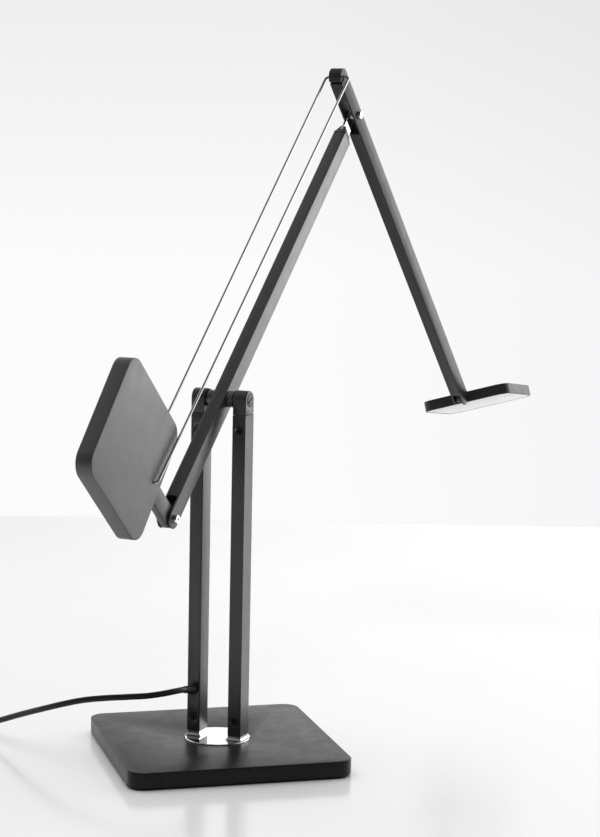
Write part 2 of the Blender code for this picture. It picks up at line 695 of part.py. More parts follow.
def build_knuckle(frame):
    """The knuckle between the forearm and the head: an eye, a collar and a spindle along Y."""
    half = BAR_WIDTH / 2 - BAR_WALL - GAP
    knuckle = bar("head_knuckle", -6.5 * MM, 11 * MM, half, 6.5 * MM, frame, "black_steel",
                  round_start=6.4 * MM)
    join(knuckle, turned("knuckle_collar",
                         [(0, 10.3 * MM), (6.6 * MM, 10.3 * MM), (6.6 * MM, HEAD_RIM - GAP),
                          (2.5 * MM, HEAD_RIM - GAP), (2.5 * MM, HEAD_RIM + 24 * MM),
                          (0, HEAD_RIM + 24 * MM)][::-1], frame, None, "Y", sides=24))
    cut(knuckle, cylinder("knuckle_bore", PIN_RADIUS + GAP, -20 * MM, 20 * MM, "X", (0, 0, 0), frame))


def build_head(frame):
    """The head: a thin housing open underneath, with its board and its opal sheet."""
    half = HEAD_SIDE / 2
    thick = HEAD_THICKNESS / 2
    far = HEAD_RIM + HEAD_SIDE
    ceiling = thick - 3 * MM
    housing = rounded_slab("head_housing", (-half, HEAD_RIM, -thick), (half, far, thick), HEAD_CORNER, 2,
                           frame, "black_anodised", edge=0.8 * MM)
    inner = half - HEAD_WALL
    cut(housing, rounded_slab("head_hollow", (-inner, HEAD_RIM + HEAD_WALL, -20 * MM),
                              (inner, far - HEAD_WALL, ceiling), HEAD_CORNER - HEAD_WALL, 2, frame))
    join(housing, block("head_boss", (-10 * MM, HEAD_RIM + 1 * MM, -3.6 * MM),
                        (10 * MM, HEAD_RIM + 20 * MM, ceiling + 1 * MM), frame))
    cut(housing, cylinder("spindle_bore", 2.5 * MM + GAP, -20 * MM, HEAD_RIM + 25 * MM, "Y", (0, 0, 0),
                          frame, sides=24))
    ring("spindle_clip", 2.5 * MM + GAP, 3.7 * MM, HEAD_RIM + 20.3 * MM, HEAD_RIM + 21.8 * MM, frame,
         "stainless_steel", "Y", sides=24)
    board_half = 52 * MM
    block("led_board", (-board_half, HEAD_RIM + 26 * MM, ceiling - 1.9 * MM),
          (board_half, far - 5 * MM, ceiling - GAP), frame, "board_white")
    sheet = inner - GAP
    rounded_slab("head_diffuser", (-sheet, HEAD_RIM + HEAD_WALL + GAP, -thick + 0.2 * MM),
                 (sheet, far - HEAD_WALL - GAP, -thick + 2.4 * MM), HEAD_CORNER - HEAD_WALL - GAP, 2,
                 frame, "opal_acrylic")


# The cord's free stretches, as points in world millimetres: from the grommet to the coil, and from
# the coil to the plug.
LEAD_ROUTE = [
    (-38.4, -10.3, 72.4), (-43.4, -16.2, 73.6), (-51, -22, 74.2), (-63, -26.5, 73.7),
    (-80, -27, 72.3), (-100, -20, 70.3), (-120, -7.5, 67), (-140, 7.5, 62), (-158, 22, 55.2),
    (-174, 40, 46.8), (-193, 71, 33.6), (-211, 101, 20.2), (-226, 124, 10.2), (-236, 143, 4.6),
    (-239.6, 158.8, 3.1),
]
TAIL_ROUTE = [(-252.3, 225.4, 9.3), (-256.3, 236.5, 8.9), (-260.5, 248, 7.8), (-264.5, 259, 7)]
PLUG_HEADING = math.radians(110)


def build_cord(frame):
    """Grommet, lead, coil, tail and plug. All but the grommet lie in world coordinates."""
    here = pivot("grommet_place", frame, (-POST_OFFSET, -BAR_DEPTH / 2, CORD_EXIT_HEIGHT),
                 -CORD_EXIT_TILT, "X")
    cut(bpy.data.objects["post_left"],
        cylinder("cord_hole", 4.3 * MM, -8 * MM, 8 * MM, "Y", (0, 0, 0), here))
    profile = [(0, GROMMET_END), (3.6 * MM, GROMMET_END), (4 * MM, 9.5 * MM), (4.7 * MM, 8.5 * MM),
               (4.7 * MM, GROMMET_START), (3.9 * MM, GROMMET_START), (3.9 * MM, -3 * MM), (0, -3 * MM)]
    turned("cord_grommet", profile, here, "black_rubber", "Y", sides=16, flip=True)

    table = pivot("cord_place", frame, (0, 0, 0), -SWIVEL_ANGLE, "Z")
    for name, route in (("cord_lead", LEAD_ROUTE), ("cord_tail", TAIL_ROUTE)):
        points = smooth_route([Vector(point) * MM for point in route], 5 * CORD_RADIUS)
        wire(name, points, CORD_RADIUS, table, "cord_jacket", 2)
    ring("cord_coil", COIL_RADIUS - COIL_HALF_WIDTH, COIL_RADIUS + COIL_HALF_WIDTH, 0, COIL_HEIGHT,
         table, "cord_jacket", "Z", (*COIL_CENTRE, 0), sides=32)

    tail_end = Vector(TAIL_ROUTE[-1]) * MM
    plug_place = pivot("plug_place", table, tail_end, PLUG_HEADING - math.radians(90), "Z")
    start = 2 * GAP
    body = stack("plug_body",
                 [(4.6 * MM, 4.6 * MM, start), (5.4 * MM, 5.2 * MM, 9 * MM),
                  (16.6 * MM, 6.8 * MM, 22 * MM), (17.6 * MM, 6.8 * MM, PLUG_LENGTH)],
                 plug_place, "black_rubber", axis="Y")
    for side, label in ((-1, "left"), (1, "right")):
        middle = (side * PLUG_PIN_SPACING / 2, 0, 0)
        cylinder("plug_pin_" + label, PLUG_PIN_RADIUS, PLUG_LENGTH - 6 * MM, PLUG_LENGTH + 19 * MM, "Y",
                 middle, plug_place, "brass_plated", sides=12)
        cut(body, cylinder("plug_socket_" + label, PLUG_PIN_RADIUS + GAP, PLUG_LENGTH - 6.5 * MM,
                           PLUG_LENGTH + 2 * MM, "Y", middle, plug_place, sides=12))


clear_scene()
lamp = make_collection("architect_desk_lamp")
cutters = make_collection("cutters")

build_base()
swivel = pivot("swivel_axis", None, (0, 0, 0), SWIVEL_ANGLE, "Z")
build_swivel(swivel)
arm_axis = pivot("arm_axis", swivel, (0, 0, AXLE_HEIGHT), ARM_ANGLE, "X")
build_arm(arm_axis)
elbow_axis = pivot("elbow_axis", arm_axis, (0, ARM_UPPER, 0), FOREARM_ANGLE - ARM_ANGLE, "X")
build_forearm(elbow_axis)
link_axis = pivot("link_axis", elbow_axis, (0, -LINK_OFFSET, 0), ARM_ANGLE - FOREARM_ANGLE, "X")
build_link(link_axis)
weight_axis = pivot("weight_axis", arm_axis, (0, -ARM_LOWER, 0), FOREARM_ANGLE - ARM_ANGLE, "X")
build_weight(weight_axis)
knuckle_axis = pivot("knuckle_axis", elbow_axis, (0, FOREARM_LENGTH, 0), HEAD_ANGLE - FOREARM_ANGLE, "X")
build_knuckle(knuckle_axis)
head_axis = pivot("head_axis", knuckle_axis, (0, 0, 0), HEAD_ROLL, "Y")
build_head(head_axis)
build_cord(swivel)
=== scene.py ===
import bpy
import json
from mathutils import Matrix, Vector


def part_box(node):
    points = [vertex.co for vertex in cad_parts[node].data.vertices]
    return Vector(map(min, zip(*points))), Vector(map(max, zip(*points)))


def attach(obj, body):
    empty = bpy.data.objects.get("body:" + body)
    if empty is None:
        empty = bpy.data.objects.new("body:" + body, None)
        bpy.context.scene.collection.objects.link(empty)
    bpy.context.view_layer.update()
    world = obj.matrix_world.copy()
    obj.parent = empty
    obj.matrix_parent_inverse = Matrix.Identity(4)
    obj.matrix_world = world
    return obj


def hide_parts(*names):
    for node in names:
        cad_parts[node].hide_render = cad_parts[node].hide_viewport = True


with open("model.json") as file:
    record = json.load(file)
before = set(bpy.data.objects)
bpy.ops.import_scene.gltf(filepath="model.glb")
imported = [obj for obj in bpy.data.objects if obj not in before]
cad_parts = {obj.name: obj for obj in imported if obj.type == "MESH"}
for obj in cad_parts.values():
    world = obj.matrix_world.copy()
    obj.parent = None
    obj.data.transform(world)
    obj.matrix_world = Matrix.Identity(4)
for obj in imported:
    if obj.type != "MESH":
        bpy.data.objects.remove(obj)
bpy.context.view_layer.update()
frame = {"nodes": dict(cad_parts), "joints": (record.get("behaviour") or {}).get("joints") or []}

import json
import math

import bmesh
import bpy
from mathutils import Matrix, Vector

mm = 0.001
up = Vector((0, 0, 1))

# camera
view = {
    "at": (-0.521, -2.1322, 0.6328),
    "heading": -15.8,  # degrees from +Y, to the left
    "down": 7.27,
    "roll": 1.16,
    "lens": 93.23,
    "sensor": 36,  # mm, on the tall side
}


def makeCamera():
    data = bpy.data.cameras.new("camera")
    data.sensor_fit = "VERTICAL"
    data.sensor_height = view["sensor"]
    data.lens = view["lens"]
    data.clip_end = 50
    camera = bpy.data.objects.new("camera", data)
    bpy.context.scene.collection.objects.link(camera)
    camera.matrix_world = (
        Matrix.Translation(view["at"])
        @ Matrix.Rotation(math.radians(view["heading"]), 4, "Z")
        @ Matrix.Rotation(math.radians(90 - view["down"]), 4, "X")
        @ Matrix.Rotation(math.radians(view["roll"]), 4, "Z")
    )
    bpy.context.scene.camera = camera


makeCamera()

# places
# Every part of the lamp is made square to its own joint: X along the axles, Y along the bar.
joints = {joint["name"]: joint for joint in frame["joints"]}
across = Vector(joints["arm_tilt"]["axis"])


def jointAt(name):
    return Vector(joints[name]["pos_m"])


def placeOf(origin, along, roll=0):
    along = Vector(along).normalized()
    turned = Matrix((across, along, across.cross(along))).transposed().to_4x4()
    return Matrix.Translation(origin) @ turned @ Matrix.Rotation(math.radians(roll), 4, "Y")


headRoll = -16.4  # degrees about the head's own axis
places = {
    "base": Matrix.Identity(4),
    "stand": placeOf((0, 0, 0), up.cross(across)),
    "arm": placeOf(jointAt("arm_tilt"), jointAt("forearm_tilt") - jointAt("arm_tilt")),
    "forearm": placeOf(jointAt("forearm_tilt"), jointAt("head_tilt") - jointAt("forearm_tilt")),
    "link": placeOf(jointAt("link_tilt"), jointAt("forearm_tilt") - jointAt("arm_tilt")),
    "weight": placeOf(jointAt("weight_tilt"), jointAt("head_tilt") - jointAt("forearm_tilt")),
    "knuckle": placeOf(jointAt("head_roll"), joints["head_roll"]["axis"]),
    "head": placeOf(jointAt("head_roll"), joints["head_roll"]["axis"], headRoll),
}


def shift(x, y, z):
    return Matrix.Translation((x, y, z))


def extent(node, place):  # a CAD node's lowest and highest corner, square to a place
    back = places[place].inverted()
    found = [back @ vert.co for vert in frame["nodes"][node].data.vertices]
    low = Vector([min(point[i] for point in found) for i in range(3)])
    high = Vector([max(point[i] for point in found) for i in range(3)])
    return low, high


# modelling helpers
def clearSelection():
    if bpy.context.object and bpy.context.object.mode != "OBJECT":
        bpy.ops.object.mode_set(mode="OBJECT")
    bpy.ops.object.select_all(action="DESELECT")


def useOnly(piece):
    clearSelection()
    piece.select_set(True)
    bpy.context.view_layer.objects.active = piece


def pickFaces(wanted):
    work = bmesh.from_edit_mesh(bpy.context.edit_object.data)
    for face in work.faces:
        face.select_set(False)
    for face in work.faces:
        face.select_set(bool(wanted(face.calc_center_median(), face.normal)))
    work.select_flush_mode()
    bmesh.update_edit_mesh(bpy.context.edit_object.data)


def pickEdges(wanted):
    bpy.ops.mesh.select_mode(type="EDGE")
    work = bmesh.from_edit_mesh(bpy.context.edit_object.data)
    for edge in work.edges:
        edge.select_set(False)
    for edge in work.edges:
        run = (edge.verts[1].co - edge.verts[0].co).normalized()
        middle = (edge.verts[0].co + edge.verts[1].co) / 2
        edge.select_set(bool(wanted(middle, run)))
    bmesh.update_edit_mesh(bpy.context.edit_object.data)


def addBox(name, low, high):
    clearSelection()
    low = Vector(low)
    high = Vector(high)
    bpy.ops.mesh.primitive_cube_add(size=1, location=(low + high) / 2, scale=high - low)
    piece = bpy.context.object
    piece.name = name
    bpy.ops.object.transform_apply(location=True, rotation=True, scale=True)
    return piece


def cut(piece, cutter, inside=None):
    if inside:
        cutter.data.materials.append(inside)
    useOnly(piece)
    tool = piece.modifiers.new("cut", "BOOLEAN")
    tool.material_mode = "TRANSFER" if inside else "INDEX"
    tool.operation = "DIFFERENCE"
    tool.solver = "EXACT"
    tool.object = cutter
    bpy.ops.object.modifier_apply(modifier="cut")
    bpy.data.objects.remove(cutter, do_unlink=True)


def soften(piece, width, steps=3, angle=35):
    useOnly(piece)
    edge = piece.modifiers.new("edge", "BEVEL")
    edge.width = width
    edge.segments = steps
    edge.limit_method = "ANGLE"
    edge.angle_limit = math.radians(angle)
    edge.use_clamp_overlap = True
    edge.harden_normals = False
    bpy.ops.object.modifier_apply(modifier="edge")


def slab(name, low, high, axis, corner, steps=14):  # a plate with four round corners
    piece = addBox(name, low, high)
    bpy.ops.object.mode_set(mode="EDIT")
    pickEdges(lambda middle, run: abs(run[axis]) > 0.99)
    bpy.ops.mesh.bevel(offset=corner, segments=steps, profile=0.5, affect="EDGES")
    bpy.ops.object.mode_set(mode="OBJECT")
    return piece


def bar(name, low, high, roundLow=False, roundHigh=False, steps=20):  # a bar along Y, ends rounded
    piece = addBox(name, low, high)
    depth = (high[2] - low[2]) / 2
    middleY = (low[1] + high[1]) / 2
    bpy.ops.object.mode_set(mode="EDIT")
    for wanted, side in ((roundLow, -1), (roundHigh, 1)):
        if wanted:
            pickEdges(lambda middle, run: abs(run.x) > 0.99 and (middle.y - middleY) * side > 0)
            bpy.ops.mesh.bevel(offset=depth * 0.999, segments=steps, profile=0.5, affect="EDGES")
    bpy.ops.mesh.select_all(action="SELECT")
    bpy.ops.mesh.remove_doubles(threshold=0.05 * mm)
    bpy.ops.object.mode_set(mode="OBJECT")
    return piece


def turn(name, profile, sides=48):  # (radius, height) from one end to the other, about Z
    clearSelection()
    radius, height = profile[0]
    bpy.ops.mesh.primitive_circle_add(vertices=sides, radius=radius, fill_type="NGON",
                                      location=(0, 0, height))
    piece = bpy.context.object
    piece.name = name
    bpy.ops.object.transform_apply(location=True, rotation=True, scale=True)
    bpy.ops.object.mode_set(mode="EDIT")
    bpy.ops.mesh.select_all(action="SELECT")
    for nextRadius, nextHeight in profile[1:]:
        bpy.ops.mesh.extrude_region_move(TRANSFORM_OT_translate={"value": (0, 0, nextHeight - height)})
        ratio = nextRadius / radius
        bpy.ops.transform.resize(value=(ratio, ratio, 1), center_override=(0, 0, nextHeight))
        radius = nextRadius
        height = nextHeight
    bpy.ops.mesh.select_all(action="SELECT")
    bpy.ops.mesh.normals_make_consistent(inside=False)
    bpy.ops.object.mode_set(mode="OBJECT")
    return piece


def stack(name, sections):  # rectangles (half sizes and height) one above the other, along Z
    halfX, halfY, height = sections[0]
    nextHeight = sections[1][2]
    piece = addBox(name, (-halfX, -halfY, height), (halfX, halfY, nextHeight))
    bpy.ops.object.mode_set(mode="EDIT")
    pickFaces(lambda centre, normal: normal.z > 0.9)
    sizes = (halfX, halfY)
    height = nextHeight
    for index, (halfX, halfY, nextHeight) in enumerate(sections[1:]):
        if index:
            bpy.ops.mesh.extrude_region_move(
                TRANSFORM_OT_translate={"value": (0, 0, nextHeight - height)})
        bpy.ops.transform.resize(value=(halfX / sizes[0], halfY / sizes[1], 1),
                                 center_override=(0, 0, nextHeight))
        sizes = (halfX, halfY)
        height = nextHeight
    bpy.ops.object.mode_set(mode="OBJECT")
    return piece


def copyOf(piece, name):  # a copy with its own mesh
    useOnly(piece)
    bpy.ops.object.duplicate(linked=False)
    copy = bpy.context.object
    copy.name = name
    return copy


def discard(*models):
    for model in models:
        bpy.data.objects.remove(model, do_unlink=True)


def moved(piece, place):  # the place goes into the mesh
    useOnly(piece)
    piece.matrix_world = place @ piece.matrix_world
    bpy.ops.object.transform_apply(location=True, rotation=True, scale=True)
    return piece


def settle(piece, place, body, material, nodes, angle=30):
    moved(piece, place)
    bpy.ops.object.shade_smooth_by_angle(angle=math.radians(angle))
    if piece.data.materials:
        piece.data.materials[0] = material
    else:
        piece.data.materials.append(material)
    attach(piece, body)
    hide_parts(*nodes)
    return piece


def aimed(at, axis, flip=False):  # stands a piece made along Z on X or Y instead
    if axis == "X":
        turned = Matrix.Rotation(math.radians(-90 if flip else 90), 4, "Y")
    else:
        turned = Matrix.Rotation(math.radians(90 if flip else -90), 4, "X")
    return Matrix.Translation(at) @ turned


def facing(place, at, axis, flip=False):
    return places[place] @ aimed(at, axis, flip)


# shader groups
def newGroup(name, inputs, outputs):
    group = bpy.data.node_groups.new(name, "ShaderNodeTree")
    for label, value in inputs:
        kind = "NodeSocketColor" if hasattr(value, "__len__") else "NodeSocketFloat"
        group.interface.new_socket(name=label, in_out="INPUT", socket_type=kind).default_value = value
    for label, kind in outputs:
        group.interface.new_socket(name=label, in_out="OUTPUT", socket_type=kind)
    return group, group.nodes.new("NodeGroupInput"), group.nodes.new("NodeGroupOutput")


def noise(tree, vector, scale, detail=3, roughness=0.5):
    node = tree.nodes.new("ShaderNodeTexNoise")
    node.inputs["Detail"].default_value = detail
    node.inputs["Roughness"].default_value = roughness
    tree.links.new(vector, node.inputs["Vector"])
    if isinstance(scale, (int, float)):
        node.inputs["Scale"].default_value = scale
    else:
        tree.links.new(scale, node.inputs["Scale"])
    return node.outputs["Fac"]


def spread(tree, value, low, high, fromLow=0.3, fromHigh=0.7):
    node = tree.nodes.new("ShaderNodeMapRange")
    tree.links.new(value, node.inputs["Value"])
    node.inputs["From Min"].default_value = fromLow
    node.inputs["From Max"].default_value = fromHigh
    for label, end in (("To Min", low), ("To Max", high)):
        if isinstance(end, (int, float)):
            node.inputs[label].default_value = end
        else:
            tree.links.new(end, node.inputs[label])
    return node.outputs["Result"]


def maths(tree, operation, first, second):
    node = tree.nodes.new("ShaderNodeMath")
    node.operation = operation
    for socket, value in zip(node.inputs, (first, second)):
        if isinstance(value, (int, float)):
            socket.default_value = value
        else:
            tree.links.new(value, socket)
    return node.outputs[0]


def blendColour(tree, mask, first, second):
    node = tree.nodes.new("ShaderNodeMix")
    node.data_type = "RGBA"
    for socket, value in ((node.inputs[0], mask), (node.inputs[6], first), (node.inputs[7], second)):
        if isinstance(value, (tuple, list)):
            socket.default_value = value
        else:
            tree.links.new(value, socket)
    return node.outputs[2]


def makeHandling():  # faint wipe marks and dust: slow changes of tone and gloss
    group, given, made = newGroup(
        "handling",
        [("Tone", (0.5, 0.5, 0.5, 1)), ("Dust", (0.6, 0.6, 0.6, 1)), ("Dusting", 0.1),
         ("Gloss", 0.4), ("Gloss Change", 0.08)],
        [("Color", "NodeSocketColor"), ("Roughness", "NodeSocketFloat")])
    where = group.nodes.new("ShaderNodeTexCoord").outputs["Object"]
    clouds = noise(group, where, 14, 4, 0.6)
    marks = noise(group, where, 60, 6, 0.65)
    specks = noise(group, where, 700, 2, 0.5)
    dusty = spread(group, specks, 0.0, 1.0, 0.56, 0.74)
    lying = spread(group, clouds, 0.25, 1.0)
    dusty = maths(group, "MULTIPLY", maths(group, "MULTIPLY", dusty, lying), given.outputs["Dusting"])
    group.links.new(blendColour(group, dusty, given.outputs["Tone"], given.outputs["Dust"]),
                    made.inputs["Color"])
    change = spread(group, marks, -1.0, 1.0, 0.25, 0.75)
    change = maths(group, "MULTIPLY", change, given.outputs["Gloss Change"])
    group.links.new(maths(group, "ADD", given.outputs["Gloss"], change), made.inputs["Roughness"])
    return group


def makeGrain():  # fine even texture, such as powder coat, anodised metal or moulded rubber
    group, given, made = newGroup(
        "grain", [("Size", 1000.0), ("Depth", 0.5)],
        [("Height", "NodeSocketFloat"), ("Mask", "NodeSocketFloat")])
    where = group.nodes.new("ShaderNodeTexCoord").outputs["Object"]
    fine = noise(group, where, given.outputs["Size"], 2, 0.5)
    group.links.new(maths(group, "MULTIPLY", fine, given.outputs["Depth"]), made.inputs["Height"])
    group.links.new(spread(group, fine, 0.0, 1.0), made.inputs["Mask"])
    return group


def makeDrawn():  # lengthwise lines left by drawing or brushing, along the vector's Y
    group, given, made = newGroup(
        "drawn", [("Fineness", 900.0), ("Depth", 0.5)],
        [("Height", "NodeSocketFloat"), ("Mask", "NodeSocketFloat")])
    group.interface.new_socket(name="Vector", in_out="INPUT", socket_type="NodeSocketVector")
    squeeze = group.nodes.new("ShaderNodeMapping")
    squeeze.inputs["Scale"].default_value = (1, 0.02, 1)
    group.links.new(given.outputs["Vector"], squeeze.inputs["Vector"])
    lines = noise(group, squeeze.outputs["Vector"], given.outputs["Fineness"], 3, 0.6)
    group.links.new(maths(group, "MULTIPLY", lines, given.outputs["Depth"]), made.inputs["Height"])
    group.links.new(spread(group, lines, 0.0, 1.0), made.inputs["Mask"])
    return group


handling = makeHandling()
grain = makeGrain()
drawn = makeDrawn()


def useGroup(tree, group, values):
    node = tree.nodes.new("ShaderNodeGroup")
    node.node_tree = group
    for label, value in values.items():
        node.inputs[label].default_value = value
    return node


def newMaterial(name, look, place="base"):  # lines run along the bars of that place
    material = bpy.data.materials.new(name)
    material.use_nodes = True
    tree = material.node_tree
    shader = tree.nodes["Principled BSDF"]
    for label, value in look.get("shader", {}).items():
        shader.inputs[label].default_value = value
    life = useGroup(tree, handling, {
        "Tone": (*look["colour"], 1), "Dust": (*look.get("dust", (0.35, 0.35, 0.34)), 1),
        "Dusting": look.get("dusting", 0.08), "Gloss": look["gloss"],
        "Gloss Change": look.get("change", 0.05)})
    if look.get("lines"):
        surface = useGroup(tree, drawn, {"Fineness": look["size"], "Depth": 1.0})
        turned = tree.nodes.new("ShaderNodeMapping")
        turned.vector_type = "POINT"
        turned.inputs["Rotation"].default_value = places[place].inverted().to_euler()
        tree.links.new(tree.nodes.new("ShaderNodeTexCoord").outputs["Object"], turned.inputs["Vector"])
        tree.links.new(turned.outputs["Vector"], surface.inputs["Vector"])
    else:
        surface = useGroup(tree, grain, {"Size": look["size"], "Depth": 1.0})
    mask = maths(tree, "MULTIPLY", surface.outputs["Mask"], look.get("mottle", 0.3))
    colour = blendColour(tree, mask, life.outputs["Color"], (*look["second"], 1))
    tree.links.new(colour, shader.inputs["Base Color"])
    tree.links.new(life.outputs["Roughness"], shader.inputs["Roughness"])
    bump = tree.nodes.new("ShaderNodeBump")
    bump.inputs["Strength"].default_value = look.get("strength", 0.1)
    bump.inputs["Distance"].default_value = look.get("distance", 0.05) * mm
    tree.links.new(surface.outputs["Height"], bump.inputs["Height"])
    tree.links.new(bump.outputs["Normal"], shader.inputs["Normal"])
    return material


anodisedLook = {
    "colour": (0.022, 0.022, 0.023), "second": (0.04, 0.04, 0.041), "gloss": 0.34, "change": 0.05,
    "size": 1500, "lines": True, "mottle": 0.25, "strength": 0.07, "distance": 0.02, "dusting": 0.05,
    "shader": {"Metallic": 0.0, "Specular IOR Level": 0.6, "IOR": 1.6},
}
powderLook = {
    "colour": (0.007, 0.007, 0.007), "second": (0.013, 0.013, 0.013), "gloss": 0.34, "change": 0.06,
    "size": 1300, "mottle": 0.3, "strength": 0.35, "distance": 0.06, "dusting": 0.1,
    "shader": {"Metallic": 0.0, "Specular IOR Level": 0.22},
}
chromeLook = {
    "colour": (0.88, 0.885, 0.89), "second": (0.82, 0.83, 0.84), "gloss": 0.06, "change": 0.03,
    "size": 600, "mottle": 0.3, "strength": 0.02, "distance": 0.01, "dusting": 0.03,
    "dust": (0.5, 0.5, 0.5), "shader": {"Metallic": 1.0},
}
steelLook = {
    "colour": (0.6, 0.6, 0.59), "second": (0.5, 0.5, 0.49), "gloss": 0.26, "change": 0.06,
    "size": 1800, "lines": True, "mottle": 0.5, "strength": 0.15, "distance": 0.02,
    "shader": {"Metallic": 1.0},
}
blackSteelLook = {
    "colour": (0.03, 0.03, 0.031), "second": (0.06, 0.06, 0.062), "gloss": 0.26, "change": 0.08,
    "size": 1600, "mottle": 0.4, "strength": 0.15, "distance": 0.03, "shader": {"Metallic": 0.7},
}
rubberLook = {
    "colour": (0.01, 0.01, 0.01), "second": (0.018, 0.018, 0.018), "gloss": 0.55, "change": 0.08,
    "size": 1100, "mottle": 0.4, "strength": 0.4, "distance": 0.08, "dusting": 0.15,
    "shader": {"Specular IOR Level": 0.25},
}
jacketLook = {
    "colour": (0.008, 0.008, 0.008), "second": (0.014, 0.014, 0.014), "gloss": 0.42, "change": 0.08,
    "size": 500, "mottle": 0.4, "strength": 0.3, "distance": 0.15, "dusting": 0.06,
    "shader": {"Specular IOR Level": 0.3},
}
opalLook = {
    "colour": (0.88, 0.88, 0.86), "second": (0.84, 0.84, 0.82), "gloss": 0.35, "change": 0.05,
    "size": 900, "mottle": 0.3, "strength": 0.1, "distance": 0.04,
    "shader": {"Subsurface Weight": 0.3, "Subsurface Scale": 0.004, "IOR": 1.49},
}
boardLook = {
    "colour": (0.78, 0.78, 0.76), "second": (0.68, 0.68, 0.66), "gloss": 0.45,
    "size": 400, "mottle": 0.3, "strength": 0.2, "distance": 0.05,
}
ribbonLook = {
    "colour": (0.12, 0.12, 0.125), "second": (0.2, 0.2, 0.2), "gloss": 0.45,
    "size": 2200, "lines": True, "mottle": 0.6, "strength": 0.4, "distance": 0.1,
}
bronzeLook = {
    "colour": (0.42, 0.27, 0.12), "second": (0.3, 0.18, 0.08), "gloss": 0.36, "change": 0.1,
    "size": 900, "mottle": 0.5, "strength": 0.3, "distance": 0.04, "shader": {"Metallic": 1.0},
}
nickelLook = {
    "colour": (0.66, 0.62, 0.54), "second": (0.58, 0.54, 0.46), "gloss": 0.22, "change": 0.06,
    "size": 1200, "mottle": 0.4, "strength": 0.1, "distance": 0.02, "shader": {"Metallic": 1.0},
}
# painted shade: a darker colour (with duller gloss) on the inner faces of slots, the wire notch and the pin's
# hole, standing in for the shade inside them
recessShadeLook = {
    "colour": (0.008, 0.008, 0.008), "second": (0.012, 0.012, 0.012), "gloss": 0.75, "change": 0.05,
    "size": 900, "mottle": 0.4, "strength": 0.3, "distance": 0.05, "shader": {"Specular IOR Level": 0.2},
}
weightLook = {
    **powderLook, "colour": (0.04, 0.04, 0.04), "second": (0.055, 0.055, 0.055), "gloss": 0.4,
    "shader": {"Specular IOR Level": 1.0},
}
spacerLook = {**blackSteelLook, "colour": (0.12, 0.12, 0.123), "second": (0.2, 0.2, 0.205)}
dullShine = {"Metallic": 0.0, "Specular IOR Level": 0.3, "IOR": 1.42}
anodised = {name: newMaterial("anodised_" + name, anodisedLook, name) for name in ("stand", "arm")}
for name in ("forearm", "head"):
    anodised[name] = newMaterial("anodised_" + name, {**anodisedLook, "shader": dullShine}, name)
recess = newMaterial("painted_shade_recess", recessShadeLook)
powder = newMaterial("powder_coat", powderLook)
weightPowder = newMaterial("powder_coat_weight", weightLook)
chrome = newMaterial("polished_chrome", chromeLook)
steel = {name: newMaterial("drawn_steel_" + name, steelLook, name)
         for name in ("stand", "arm", "forearm", "knuckle")}
blackSteel = newMaterial("black_oxide_steel", blackSteelLook)
spacerSteel = newMaterial("worn_oxide_steel", spacerLook)
rubber = newMaterial("moulded_rubber", rubberLook)
jacket = newMaterial("cord_jacket", jacketLook)
opal = newMaterial("opal_sheet", opalLook)
board = newMaterial("board_mask", boardLook)
ribbon = newMaterial("flat_cable", ribbonLook, "arm")
bronze = newMaterial("oiled_bronze", bronzeLook)
nickel = newMaterial("nickel_plate", nickelLook)
print("materials made")

# mains lead
lead = {
    "diameter": 6.2 * mm,
    "length": 1.8,
    "exit": (-24.3, 7.2, 67.6),  # mm, on the left post's face
    "coilCentre": (-286, 185),
    "outer": 45.5,
    "inner": 26.5,
    "low": 3.2,  # the first layer of turns lies on the table
    "high": 9.4,  # and the second on the first
    "turns": 6 + 20 / 360,
    "pointsPerTurn": 24,
    "spacing": 5,
    "stepsPerSpan": 12,
}
leadRoute = [
    (-38.4, -10.3, 72.4), (-43.4, -16.2, 73.6), (-51, -22, 74.2), (-63, -26.5, 73.7),
    (-80, -27, 72.3), (-100, -20, 70.3), (-120, -7.5, 67), (-140, 7.5, 62), (-158, 22, 55.2),
    (-174, 40, 46.8), (-193, 71, 33.6), (-211, 101, 20.2), (-226, 124, 10.2), (-236, 143, 4.6),
    (-239.6, 158.8, 3.2), (-240.4, 172, 3.2),
]
tailRoute = [(-252.3, 225.4, 9.3), (-256.3, 236.5, 8.9), (-260.5, 248, 7.8), (-264.5, 259, 7),
             (-265.8, 262.6, 7)]


def coilPoints():
    steps = round(lead["turns"] * lead["pointsPerTurn"])
    points = []
    for step in range(steps + 1):
        share = step / steps
        angle = 2 * math.pi * lead["turns"] * share
        inward = 1 - abs(2 * share - 1)
        radius = lead["outer"] + (lead["inner"] - lead["outer"]) * inward
        climb = min(1, max(0, (share - 0.48) / 0.04))  # near the middle of its length
        climb = climb * climb * (3 - 2 * climb)
        height = lead["low"] + (lead["high"] - lead["low"]) * climb
        x, y = lead["coilCentre"]
        points.append((x + radius * math.cos(angle), y + radius * math.sin(angle), height))
    return points


def blendPoints(one, two, start, end, at):
    return one.lerp(two, (at - start) / (end - start))


